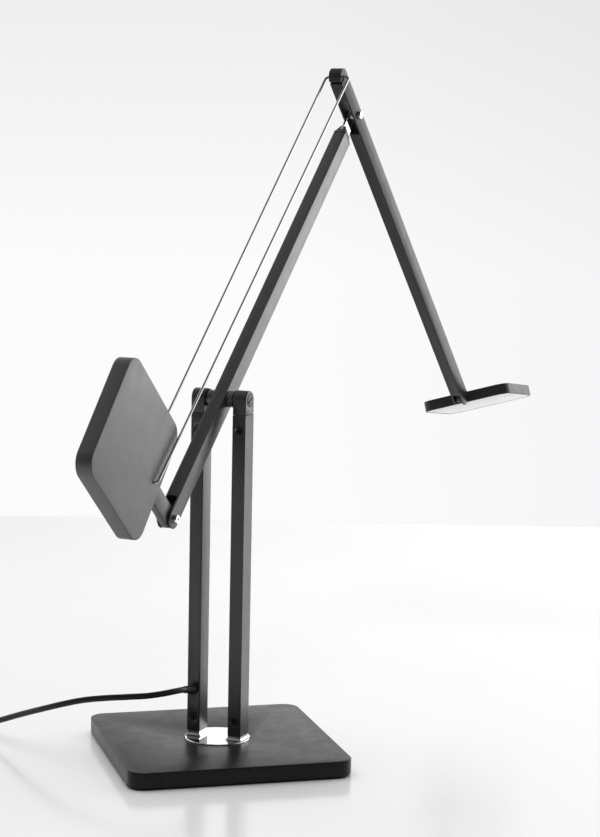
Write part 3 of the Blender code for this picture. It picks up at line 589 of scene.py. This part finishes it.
def throughPoints(points, spacing):  # even points on a smooth curve through the given ones
    route = [Vector(point) * mm for point in points]
    route = [2 * route[0] - route[1]] + route + [2 * route[-1] - route[-2]]
    steps = lead["stepsPerSpan"]
    dense = []
    for before, first, second, after in zip(route, route[1:], route[2:], route[3:]):
        knots = [0.0]
        for one, two in ((before, first), (first, second), (second, after)):
            knots.append(knots[-1] + math.sqrt((two - one).length))
        for step in range(steps):
            at = knots[1] + (knots[2] - knots[1]) * step / steps
            into = blendPoints(before, first, knots[0], knots[1], at)
            along = blendPoints(first, second, knots[1], knots[2], at)
            out = blendPoints(second, after, knots[2], knots[3], at)
            into = blendPoints(into, along, knots[0], knots[2], at)
            out = blendPoints(along, out, knots[1], knots[3], at)
            dense.append(blendPoints(into, out, knots[1], knots[2], at))
    dense.append(route[-2])
    lengths = [0.0]
    for one, two in zip(dense, dense[1:]):
        lengths.append(lengths[-1] + (two - one).length)
    count = round(lengths[-1] / spacing)
    found = []
    index = 0
    for step in range(count + 1):
        target = lengths[-1] * step / count
        while index < len(dense) - 2 and lengths[index + 1] < target:
            index += 1
        share = (target - lengths[index]) / max(lengths[index + 1] - lengths[index], 1e-9)
        found.append(dense[index].lerp(dense[index + 1], min(1, share)))
    return found


def tube(name, points, radius, resolution):
    data = bpy.data.curves.new(name, "CURVE")
    data.dimensions = "3D"
    data.bevel_depth = radius
    data.bevel_resolution = resolution
    data.use_fill_caps = True
    spline = data.splines.new("POLY")
    spline.points.add(len(points) - 1)
    for point, place in zip(spline.points, points):
        point.co = (*place, 1)
    piece = bpy.data.objects.new(name, data)
    bpy.context.scene.collection.objects.link(piece)
    return piece


grommet = {
    "tilt": 12,  # degrees up from square to the post
    "neck": 3.9,
    "collar": 4.7,
    "start": 1.4,  # mm out from the post's face
    "collarEnd": 8.6,
    "tip": 22,
    "root": 4.05,
    "ribs": 4,
    "ribTaper": 0.1,
    "groove": 0.28,
}


def makeGrommet():
    start = grommet["start"]
    end = grommet["collarEnd"]
    tip = grommet["tip"]
    neck = grommet["neck"]
    wide = grommet["collar"]
    root = grommet["root"]
    profile = [(neck - 0.2, -3), (neck, -2.8), (neck, start), (wide - 0.3, start), (wide, start + 0.3),
               (wide, end - 0.6), (wide - 0.6, end), (root, end + 0.3)]
    pitch = (tip - end - 3) / grommet["ribs"]
    for rib in range(grommet["ribs"]):
        at = end + 1.2 + rib * pitch
        outside = root - grommet["ribTaper"] * rib
        inside = outside - grommet["groove"]
        profile += [(outside, at), (inside, at + 0.3), (inside, at + 0.9), (outside, at + 1.2)]
    profile += [(3.65, tip - 0.3), (3.4, tip)]
    piece = turn("cord_strain_relief", [(r * mm, z * mm) for r, z in profile], 40)
    low, high = extent("post_left", "stand")
    tilted = Matrix.Rotation(math.radians(90 - grommet["tilt"]), 4, "X")
    place = places["stand"] @ shift((low.x + high.x) / 2, low.y, lead["exit"][2] * mm) @ tilted
    return settle(piece, place, "stand", rubber, ["cord_grommet"])


plug = {
    "heading": 110,  # degrees from +X
    "edge": 1.6,
    # half width, half thickness and distance from the lead's end, mm
    "sections": [(4.2, 4.2, 0.6), (4.6, 4.6, 3), (5.4, 5.2, 9), (11.5, 6.5, 16), (16.4, 6.8, 23),
                 (17.6, 6.8, 29), (17.6, 6.8, 37)],
}


def makePlug():
    piece = stack("plug_moulding", [[size * mm for size in section] for section in plug["sections"]])
    soften(piece, plug["edge"] * mm, 4, 20)
    rear = Vector(tailRoute[-2]) * mm
    heading = Matrix.Rotation(math.radians(plug["heading"] - 90), 4, "Z")
    place = shift(*rear) @ heading @ aimed((0, 0, 0), "Y")
    return settle(piece, place, "stand", rubber, ["plug_body"], 40)


def makeLead():
    strainRelief = makeGrommet()
    plugPiece = makePlug()
    route = [lead["exit"]] + leadRoute + coilPoints() + tailRoute
    piece = tube("mains_lead", throughPoints(route, lead["spacing"] * mm), lead["diameter"] / 2, 5)
    piece.data.materials.append(jacket)
    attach(piece, "stand")
    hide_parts("cord_lead", "cord_coil", "cord_tail")


makeLead()
print("mains lead made")

# base
base = {"corner": 17, "edge": 0.9, "seatGap": 0.3, "seatDepth": 5, "padInset": 4, "padEdge": 0.3}
beyond = 9 * mm  # how far a cutter reaches past what it cuts


def makeBase():
    low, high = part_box("base_plate")
    plate = slab("base_block", low, high, 2, base["corner"] * mm, 18)
    discLow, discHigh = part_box("swivel_disc")
    radius = (discHigh.x - discLow.x) / 2 + base["seatGap"] * mm
    floorOfSeat = high.z - base["seatDepth"] * mm
    cut(plate, turn("seat", [(radius, floorOfSeat), (radius, high.z + beyond)], 128))
    soften(plate, base["edge"] * mm, 4)
    settle(plate, places["base"], "base", powder, ["base_plate"])

    low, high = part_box("base_pad")
    pad = slab("base_pad_sheet", low, high, 2, (base["corner"] - base["padInset"]) * mm)
    soften(pad, base["padEdge"] * mm, 2)
    settle(pad, places["base"], "base", rubber, ["base_pad"])


makeBase()

# swivel disc and posts
disc = {"chamfer": 0.7, "sides": 160}
post = {"edge": 0.7, "exitHole": 4.4}
shoe = {"flange": 1.7, "lip": 0.7, "slopeTop": 2.1, "spigot": 0.6, "edge": 0.25, "gap": 0.3}
screw = {
    "head": 4.1, "dish": 2.6, "shank": 2.0, "cone": 2.3, "depth": 5, "socket": 1.45, "socketDepth": 1.7,
    "sunk": 0.15, "seat": 4.55, "seatBore": 2.3,
}
cap = {"roundSteps": 24, "gap": 0.3, "edge": 0.5, "seat": 6.5, "seatDepth": 3.3}
cover = {"radius": 6.2, "depth": 3, "crown": 0.2, "slotHalf": 0.7, "slotDepth": 1.1, "slotTurn": 25}
ringEdges = {"axle_washer_": 0.25, "axle_spacer_": 0.4}
sides = {"left": -1, "right": 1}


def makeDisc():
    low, high = extent("swivel_disc", "stand")
    radius = high.x
    rim = disc["chamfer"] * mm
    piece = turn("swivel_plate", [
        (radius, low.z), (radius, high.z - rim), (radius - 0.3 * rim, high.z - 0.4 * rim),
        (radius - rim, high.z)], disc["sides"])
    settle(piece, places["stand"], "stand", chrome, ["swivel_disc"], 15)


def makeScrew():  # a countersunk socket screw, its head at height 0
    wide = screw["head"]
    dish = screw["dish"]
    profile = [(screw["shank"], -screw["depth"]), (screw["shank"], -screw["cone"]), (wide - 0.2, -0.3),
               (wide, -0.1), (wide - 0.25, 0.05), (dish, 0.05), (dish - 0.3, -0.2)]
    piece = turn("screw_model", [(radius * mm, height * mm) for radius, height in profile], 40)
    hexagon = screw["socket"] * mm
    cut(piece, turn("socket", [(hexagon, -screw["socketDepth"] * mm), (hexagon, mm)], 6))
    return piece


screwModel = makeScrew()


def makeCountersink(at):  # on the face of a post, set out in the world and brought back
    bore = screw["seatBore"] * mm
    wide = screw["seat"] * mm
    seat = turn("countersink", [(bore, -6 * mm), (bore, -2.6 * mm), (wide, 0), (wide, 2 * mm)], 40)
    moved(seat, facing("stand", at, "Y", True))
    return moved(seat, places["stand"].inverted())


def makeShoe(halfX, halfY, low, high):  # the chrome foot of a post
    flange = shoe["flange"] * mm
    spigot = shoe["spigot"] * mm
    top = high - shoe["gap"] * mm
    piece = stack("post_shoe_right", [
        (halfX + flange, halfY + flange, low), (halfX + flange, halfY + flange, low + shoe["lip"] * mm),
        (halfX, halfY, low + shoe["slopeTop"] * mm), (halfX, halfY, top),
        (halfX - spigot, halfY - spigot, top), (halfX - spigot, halfY - spigot, high + mm)])
    soften(piece, shoe["edge"] * mm, 2)
    return piece


def makePost(label):
    low, high = extent("post_" + label, "stand")
    middle = (low.x + high.x) / 2
    body = addBox("post_tube_" + label, low, high)
    for height in ("lower", "upper"):
        screwLow, screwHigh = extent(height + "_screw_" + label, "stand")
        at = (middle, low.y, (screwLow.z + screwHigh.z) / 2)
        cut(body, makeCountersink(at), steel["stand"])
        piece = copyOf(screwModel, height + "_socket_screw_" + label)
        out = (at[0], at[1] + screw["sunk"] * mm, at[2])
        settle(piece, facing("stand", out, "Y", True), "stand", blackSteel,
               [height + "_screw_" + label])
    if label == "left":
        hole = post["exitHole"] * mm
        exitHole = turn("exit_hole", [(hole, -4 * mm), (hole, 4 * mm)], 40)
        cut(body, moved(exitHole, aimed((middle, low.y, lead["exit"][2] * mm), "Y", True)))
    soften(body, post["edge"] * mm)
    settle(body, places["stand"], "stand", anodised["stand"], ["post_" + label])


def makeShoes():
    low, high = extent("post_right", "stand")
    footLow = extent("post_foot_right", "stand")[0].z
    shoes = {"right": makeShoe((high.x - low.x) / 2, (high.y - low.y) / 2, footLow, low.z)}
    shoes["left"] = copyOf(shoes["right"], "post_shoe_left")
    for label, side in sides.items():
        place = places["stand"] @ shift(side * (low.x + high.x) / 2, 0, 0)
        settle(shoes[label], place, "stand", chrome, ["post_foot_" + label], 20)


def makeCaps():
    low, high = extent("post_cap_right", "stand")
    tubeTop = extent("post_right", "stand")[1].z
    axle = jointAt("arm_tilt").z
    halfY = (high.y - low.y) / 2
    piece = addBox("post_head_right", (low.x, low.y, tubeTop + cap["gap"] * mm), high)
    bpy.ops.object.mode_set(mode="EDIT")
    pickEdges(lambda point, run: abs(run.x) > 0.99 and point.z > axle)
    bpy.ops.mesh.bevel(offset=halfY * 0.999, segments=cap["roundSteps"], profile=0.5, affect="EDGES")
    bpy.ops.mesh.select_all(action="SELECT")
    bpy.ops.mesh.remove_doubles(threshold=0.05 * mm)
    bpy.ops.object.mode_set(mode="OBJECT")
    seat = turn("seat", [(cap["seat"] * mm, -cap["seatDepth"] * mm), (cap["seat"] * mm, 3 * mm)], 64)
    cut(piece, moved(seat, aimed((high.x, 0, axle), "X")))
    soften(piece, cap["edge"] * mm)
    caps = {"right": piece, "left": copyOf(piece, "post_head_left")}
    for label, side in sides.items():
        halfTurn = Matrix.Rotation(math.radians(90 - 90 * side), 4, "Z")
        settle(caps[label], places["stand"] @ halfTurn, "stand", anodised["stand"],
               ["post_cap_" + label])
        makeCover(label, side, (side * high.x, 0, axle))


def makeCover(label, side, at):  # the slotted head of the axle's screw
    radius = cover["radius"]
    crown = cover["crown"]
    profile = [(radius, -cover["depth"]), (radius, -0.2), (radius - 0.3, crown - 0.05), (radius - 0.6, crown)]
    piece = turn("axle_cover_" + label, [(r * mm, z * mm) for r, z in profile], 64)
    half = cover["slotHalf"] * mm
    slot = addBox("slot", (-half, -beyond, -cover["slotDepth"] * mm), (half, beyond, 2 * mm))
    cut(piece, moved(slot, Matrix.Rotation(math.radians(cover["slotTurn"] * side), 4, "Z")))
    settle(piece, facing("stand", at, "X", side < 0), "stand", blackSteel,
           ["axle_screw_" + label])


def makeRings():  # washers and spacers on the axle
    axle = jointAt("arm_tilt").z
    for kind, inset in ringEdges.items():
        low, high = extent(kind + "right", "stand")
        radius = (high.z - low.z) / 2
        half = (high.x - low.x) / 2
        edge = inset * mm
        ring = turn(kind + "ring_right", [
            (radius - edge, -half), (radius, edge - half), (radius, half - edge), (radius - edge, half)], 56)
        rings = {"right": ring, "left": copyOf(ring, kind + "ring_left")}
        material = blackSteel if kind == "axle_washer_" else spacerSteel
        for label, side in sides.items():
            at = (side * (low.x + high.x) / 2, 0, axle)
            settle(rings[label], facing("stand", at, "X"), "stand", material, [kind + label])


def makeStand():
    makeDisc()
    makeShoes()
    for label in sides:
        makePost(label)
    makeCaps()
    makeRings()


makeStand()
print("base and stand made")

# pins
pin = {"edge": 0.6, "hole": 1.4, "holeDepth": 1.8, "neck": 0.7, "gap": 0.3}


def turnPin(name, hollow):
    low, high = extent("weight_pin", "arm")
    face = extent("main_arm", "arm")[1].x + pin["gap"] * mm
    top = max(abs(low.x), abs(high.x))
    radius = (high.z - low.z) / 2
    neck = radius * pin["neck"]
    edge = pin["edge"] * mm
    piece = turn(name, [(neck, 0), (neck, face), (radius, face), (radius, top - edge),
                        (radius - 0.3 * edge, top - 0.3 * edge), (radius - edge, top)], 56)
    if hollow:
        hole = pin["hole"] * mm
        # the hole's inner faces take the painted shade
        cut(piece, turn("hole", [(hole, top - pin["holeDepth"] * mm), (hole, top + mm)], 32), recess)
    return piece


pinModel = turnPin("pin_model", True)
nutModel = turnPin("nut_model", False)


def makePin(node, place, body):
    for name, model, flip in ((node, pinModel, False), (node + "_nut", nutModel, True)):
        low, high = extent(name, place)
        at = (0, (low.y + high.y) / 2, (low.z + high.z) / 2)
        settle(copyOf(model, name + "_turned"), facing(place, at, "X", flip), body, chrome,
               [name], 20)


# main arm
arm = {"edge": 0.7, "wall": 2.0, "slotEnd": -138.8}
elbow = {
    "gap": 0.3, "edge": 0.3, "bladeHalf": 1.6, "bladeEdge": 0.25,
    # half width, how much lower than the arm, and distance from the block's start, mm
    "shoulder": (6.2, 0.4, 3.7), "nose": (2.9, 1.6), "straight": 1.7, "slotStart": 2,
}


def makeArm():
    low, high = extent("main_arm", "arm")
    tubePiece = bar("arm_tube", low, high, roundLow=True)
    slot = high.x - arm["wall"] * mm
    fork = addBox("fork", (-slot, low.y - beyond, low.z - beyond),
                  (slot, arm["slotEnd"] * mm, high.z + beyond))
    # the fork's inner faces take the painted shade
    cut(tubePiece, fork, recess)
    soften(tubePiece, arm["edge"] * mm)
    settle(tubePiece, places["arm"], "main_arm", anodised["arm"], ["main_arm"])
    makePin("weight_pin", "arm", "main_arm")

    low, high = extent("elbow_block", "arm")
    armHigh = extent("main_arm", "arm")[1]
    start = armHigh.y + elbow["gap"] * mm
    halfX, drop, shoulderAt = elbow["shoulder"]
    noseX, noseDrop = elbow["nose"]
    piece = stack("elbow_wedge", [
        (armHigh.x, armHigh.z, start), (armHigh.x, armHigh.z, start + elbow["straight"] * mm),
        (halfX * mm, armHigh.z - drop * mm, start + shoulderAt * mm),
        (noseX * mm, armHigh.z - noseDrop * mm, high.y)])
    half = elbow["bladeHalf"] * mm
    cut(piece, addBox("blade_slot", (-half, -beyond, start + elbow["slotStart"] * mm),
                      (half, beyond, high.y + beyond)))
    soften(piece, elbow["edge"] * mm, 2)
    settle(piece, facing("arm", (0, 0, 0), "Y"), "main_arm", anodised["arm"],
           ["elbow_block"])

    low, high = extent("elbow_blade", "arm")
    blade = bar("elbow_tongue", low, high, roundHigh=True, steps=24)
    soften(blade, elbow["bladeEdge"] * mm, 2)
    settle(blade, places["arm"], "main_arm", chrome, ["elbow_blade"], 20)


makeArm()

# forearm
forearm = {
    "edge": 0.7, "wall": 2.0, "slotLow": -32, "slotHigh": 22, "headSlot": 16, "notch": 1.6, "trim": 0.05,
}


def makeForearm():
    low, high = extent("forearm", "forearm")
    low.y += forearm["trim"] * mm
    piece = bar("forearm_tube", low, high, roundLow=True, roundHigh=True)
    slot = high.x - forearm["wall"] * mm
    headSlot = (jointAt("head_tilt") - jointAt("forearm_tilt")).length - forearm["headSlot"] * mm
    under = low.z - beyond
    over = high.z + beyond
    elbowSlot = addBox("elbow_slot", (-slot, forearm["slotLow"] * mm, under),
                       (slot, forearm["slotHigh"] * mm, over))
    # the inner faces of both slots and of the wire notch below take the painted shade
    cut(piece, elbowSlot, recess)
    cut(piece, addBox("head_slot", (-slot, headSlot, under), (slot, high.y + beyond, over)), recess)
    linkY = (places["forearm"].inverted() @ jointAt("link_tilt")).y
    half = forearm["notch"] * mm
    notch = addBox("wire_notch", (low.x - beyond, linkY - half, under), (high.x + beyond, linkY + half, half))
    cut(piece, notch, recess)
    soften(piece, forearm["edge"] * mm)
    settle(piece, places["forearm"], "forearm", anodised["forearm"],
           ["forearm", "forearm_plug"])
    makePin("elbow_pin", "forearm", "forearm")


makeForearm()

# balance wire
wire = {"radius": 1.35, "spread": 14, "spreadLow": 11.6, "bend": 5, "foot": 5, "steps": 10}


def bendPoints(x, y, start, end):
    points = []
    for step in range(wire["steps"] + 1):
        angle = math.radians(start + (end - start) * step / wire["steps"])
        points.append((x + wire["bend"] * math.cos(angle), y + wire["bend"] * math.sin(angle)))
    return points


def makeWire():
    length = (jointAt("forearm_tilt") - jointAt("weight_tilt")).length / mm
    bend = wire["bend"]
    half = [(0, 0)]
    half += bendPoints(wire["spread"] - bend, -bend, 90, 0)
    half += bendPoints(wire["spreadLow"] - bend, -length + bend, 0, -90)
    half.append((wire["foot"], -length))
    path = [(-x, y) for x, y in reversed(half[1:])] + half
    points = [Vector((x, y, 0)) * mm for x, y in path]
    piece = tube("balance_wire_drawn", points, wire["radius"] * mm, 5)
    useOnly(piece)
    bpy.ops.object.convert(target="MESH")
    bpy.ops.object.mode_set(mode="EDIT")
    bpy.ops.mesh.select_all(action="SELECT")
    bpy.ops.mesh.remove_doubles(threshold=0.01 * mm)
    bpy.ops.mesh.normals_make_consistent(inside=False)
    bpy.ops.object.mode_set(mode="OBJECT")
    settle(piece, places["link"], "balance_link", steel["arm"], ["balance_wire"])


makeWire()

# counterweight
weight = {"corner": 17.6, "edge": 0.9, "pocket": 27.8, "gap": 0.3, "tongueEdge": 0.4, "proud": 0.05}


def makeWeight():
    low, high = extent("counterweight_plate", "weight")
    tongueLow, tongueHigh = extent("counterweight_tongue", "weight")
    plate = slab("weight_plate", low, high, 0, weight["corner"] * mm, 18)
    gap = weight["gap"] * mm
    pocketEnd = high.y - weight["pocket"] * mm
    cut(plate, addBox("pocket", (tongueLow.x - gap, pocketEnd, tongueLow.z - gap),
                      (tongueHigh.x + gap, high.y + beyond, tongueHigh.z + gap)))
    soften(plate, weight["edge"] * mm, 4)
    settle(plate, places["weight"], "counterweight", weightPowder,
           ["counterweight_plate"])
    tongue = bar("weight_tongue", tongueLow, tongueHigh, roundHigh=True)
    soften(tongue, weight["tongueEdge"] * mm, 2)
    settle(tongue, places["weight"], "counterweight", weightPowder,
           ["counterweight_tongue"])
    for number in ("1", "2"):
        screwLow, screwHigh = extent("tongue_screw_" + number, "weight")
        at = (low.x - weight["proud"] * mm, (screwLow.y + screwHigh.y) / 2, (screwLow.z + screwHigh.z) / 2)
        settle(copyOf(screwModel, "tongue_socket_screw_" + number), facing("weight", at, "X", True),
               "counterweight", blackSteel, ["tongue_screw_" + number])


makeWeight()
discard(screwModel, pinModel, nutModel)
print("arms, wire and counterweight made")

# head
head = {"corner": 17.4, "edge": 0.8, "wall": 2.2, "recess": 11, "sheetEdge": 0.35}


def makeHead():
    low, high = extent("head_housing", "head")
    shell = slab("head_shell", low, high, 2, head["corner"] * mm, 18)
    bpy.ops.object.mode_set(mode="EDIT")
    bpy.ops.mesh.select_mode(type="FACE")
    pickFaces(lambda centre, normal: normal.z < -0.9)
    bpy.ops.mesh.inset(thickness=head["wall"] * mm, depth=0)
    bpy.ops.mesh.extrude_region_move(TRANSFORM_OT_translate={"value": (0, 0, head["recess"] * mm)})
    bpy.ops.object.mode_set(mode="OBJECT")
    soften(shell, head["edge"] * mm, 3, 60)
    settle(shell, places["head"], "head", anodised["head"], ["head_housing"])

    low, high = extent("head_diffuser", "head")
    sheet = slab("opal_sheet", low, high, 2, (head["corner"] - head["wall"]) * mm, 16)
    soften(sheet, head["sheetEdge"] * mm, 2)
    settle(sheet, places["head"], "head", opal, ["head_diffuser"])


makeHead()

# knuckle between forearm and head
knuckle = {
    "half": 4.95, "eye": 6.5, "eyeEnd": 11, "edge": 0.4,
    "collar": [(6.2, 10.3), (6.6, 10.7), (6.6, 12.3), (6.2, 12.7), (2.5, 12.7), (2.5, 33)],
}


def makeKnuckle():
    half = knuckle["half"] * mm
    eye = knuckle["eye"] * mm
    piece = bar("head_hinge_eye", (-half, -eye, -eye), (half, knuckle["eyeEnd"] * mm, eye), roundLow=True)
    soften(piece, knuckle["edge"] * mm, 2)
    settle(piece, places["knuckle"], "head_knuckle", blackSteel, ["head_knuckle"])
    collar = turn("head_hinge_collar", [(r * mm, y * mm) for r, y in knuckle["collar"]], 56)
    settle(collar, facing("knuckle", (0, 0, 0), "Y"), "head_knuckle", blackSteel, [])


makeKnuckle()
print("head made")

# carried-over parts
carried = {
    "swivel_bush": bronze, "arm_hub": bronze,
    "swivel_spindle": steel["stand"], "friction_washer": steel["stand"], "spindle_nut": steel["stand"],
    "axle": steel["stand"], "foot_screw_left": blackSteel, "foot_screw_right": blackSteel,
    "weight_washer_left": steel["arm"], "weight_washer_right": steel["arm"],
    "elbow_spacer_left": steel["forearm"], "elbow_spacer_right": steel["forearm"],
    "head_pin": steel["forearm"], "spindle_clip": steel["knuckle"], "led_board": board,
    "arm_flat_cable": ribbon, "forearm_flat_cable": ribbon,
    "plug_pin_left": nickel, "plug_pin_right": nickel,
}


def dressCarried():
    for name, material in carried.items():
        node = frame["nodes"][name]
        node.data.materials.clear()
        node.data.materials.append(material)


dressCarried()
print("carried-over parts dressed")

# table, sky and light
studio = {"table": 12.0, "tableBack": 1.4}
sky = {
    "wallSide": (0.27, 0.96),  # behind the lamp
    "windowSide": (0.9, 0.434),  # right of it and behind
    "wall": 1.0,
    "shade": 0.1,
    "window": 0.8,
    "ceiling": 0.3,
    # what is seen past the table: its tone low down, high up and towards the right
    "low": 0.97,
    "high": 0.84,
    "side": 0.92,
}


def makeTable():
    heading = math.radians(view["heading"])
    size = studio["table"]
    clearSelection()
    bpy.ops.mesh.primitive_plane_add(size=size, location=(0, studio["tableBack"] - size / 2, 0))
    table = bpy.context.object
    table.name = "table"
    moved(table, Matrix.Rotation(heading, 4, "Z"))
    material = bpy.data.materials.new("white_table")
    material.use_nodes = True
    tree = material.node_tree
    shader = tree.nodes["Principled BSDF"]
    where = tree.nodes.new("ShaderNodeTexCoord").outputs["Object"]
    tree.links.new(spread(tree, noise(tree, where, 9, 4), 0.14, 0.2), shader.inputs["Roughness"])
    clouds = spread(tree, noise(tree, where, 3, 2), 0.0, 1.0)
    tree.links.new(blendColour(tree, clouds, (0.9, 0.9, 0.9, 1), (0.88, 0.88, 0.88, 1)),
                   shader.inputs["Base Color"])
    table.data.materials.append(material)


def makeWorld():
    world = bpy.data.worlds.new("studio")
    bpy.context.scene.world = world
    world.use_nodes = True
    tree = world.node_tree
    tree.nodes.clear()
    split = tree.nodes.new("ShaderNodeSeparateXYZ")
    tree.links.new(tree.nodes.new("ShaderNodeTexCoord").outputs["Generated"], split.inputs["Vector"])

    def towards(direction):
        return maths(tree, "ADD", maths(tree, "MULTIPLY", split.outputs["X"], direction[0]),
                     maths(tree, "MULTIPLY", split.outputs["Y"], direction[1]))

    wall = spread(tree, towards(sky["wallSide"]), sky["shade"], sky["wall"], -0.4, 0.3)
    window = spread(tree, towards(sky["windowSide"]), 0.0, sky["window"], 0.55, 0.95)
    above = spread(tree, split.outputs["Z"], 1.0, sky["ceiling"], 0.3, 0.8)
    light = maths(tree, "MULTIPLY", maths(tree, "ADD", wall, window), above)
    seen = maths(tree, "MULTIPLY", spread(tree, split.outputs["Z"], sky["low"], sky["high"], -0.06, 0.08),
                 spread(tree, towards(sky["windowSide"]), 1.0, sky["side"], 0.66, 0.8))
    direct = tree.nodes.new("ShaderNodeLightPath").outputs["Is Camera Ray"]
    background = tree.nodes.new("ShaderNodeBackground")
    mixed = tree.nodes.new("ShaderNodeMix")
    tree.links.new(direct, mixed.inputs["Factor"])
    tree.links.new(light, mixed.inputs["A"])
    tree.links.new(seen, mixed.inputs["B"])
    tree.links.new(mixed.outputs["Result"], background.inputs["Color"])
    output = tree.nodes.new("ShaderNodeOutputWorld")
    tree.links.new(background.outputs["Background"], output.inputs["Surface"])


lights = {
    "overhead": {"at": (-0.2, 0.2, 2.6), "aim": (0.0, 0.1, 0), "size": 3.6, "power": 68, "glossy": False},
    "window": {"at": (2.6, 1.2, 1.1), "aim": (0.1, 0.1, 0.35), "size": 1.8, "power": 11, "glossy": True},
}


def makeLight(name, values):
    data = bpy.data.lights.new(name, "AREA")
    data.shape = "SQUARE"
    data.size = values["size"]
    data.energy = values["power"]
    light = bpy.data.objects.new(name, data)
    bpy.context.scene.collection.objects.link(light)
    light.location = values["at"]
    aim = Vector(values["aim"]) - Vector(values["at"])
    light.rotation_euler = aim.to_track_quat("-Z", "Y").to_euler()
    light.visible_glossy = values["glossy"]


makeTable()
makeWorld()
bpy.context.scene.view_settings.view_transform = "Standard"
for name, values in lights.items():
    makeLight(name, values)
print("studio made")
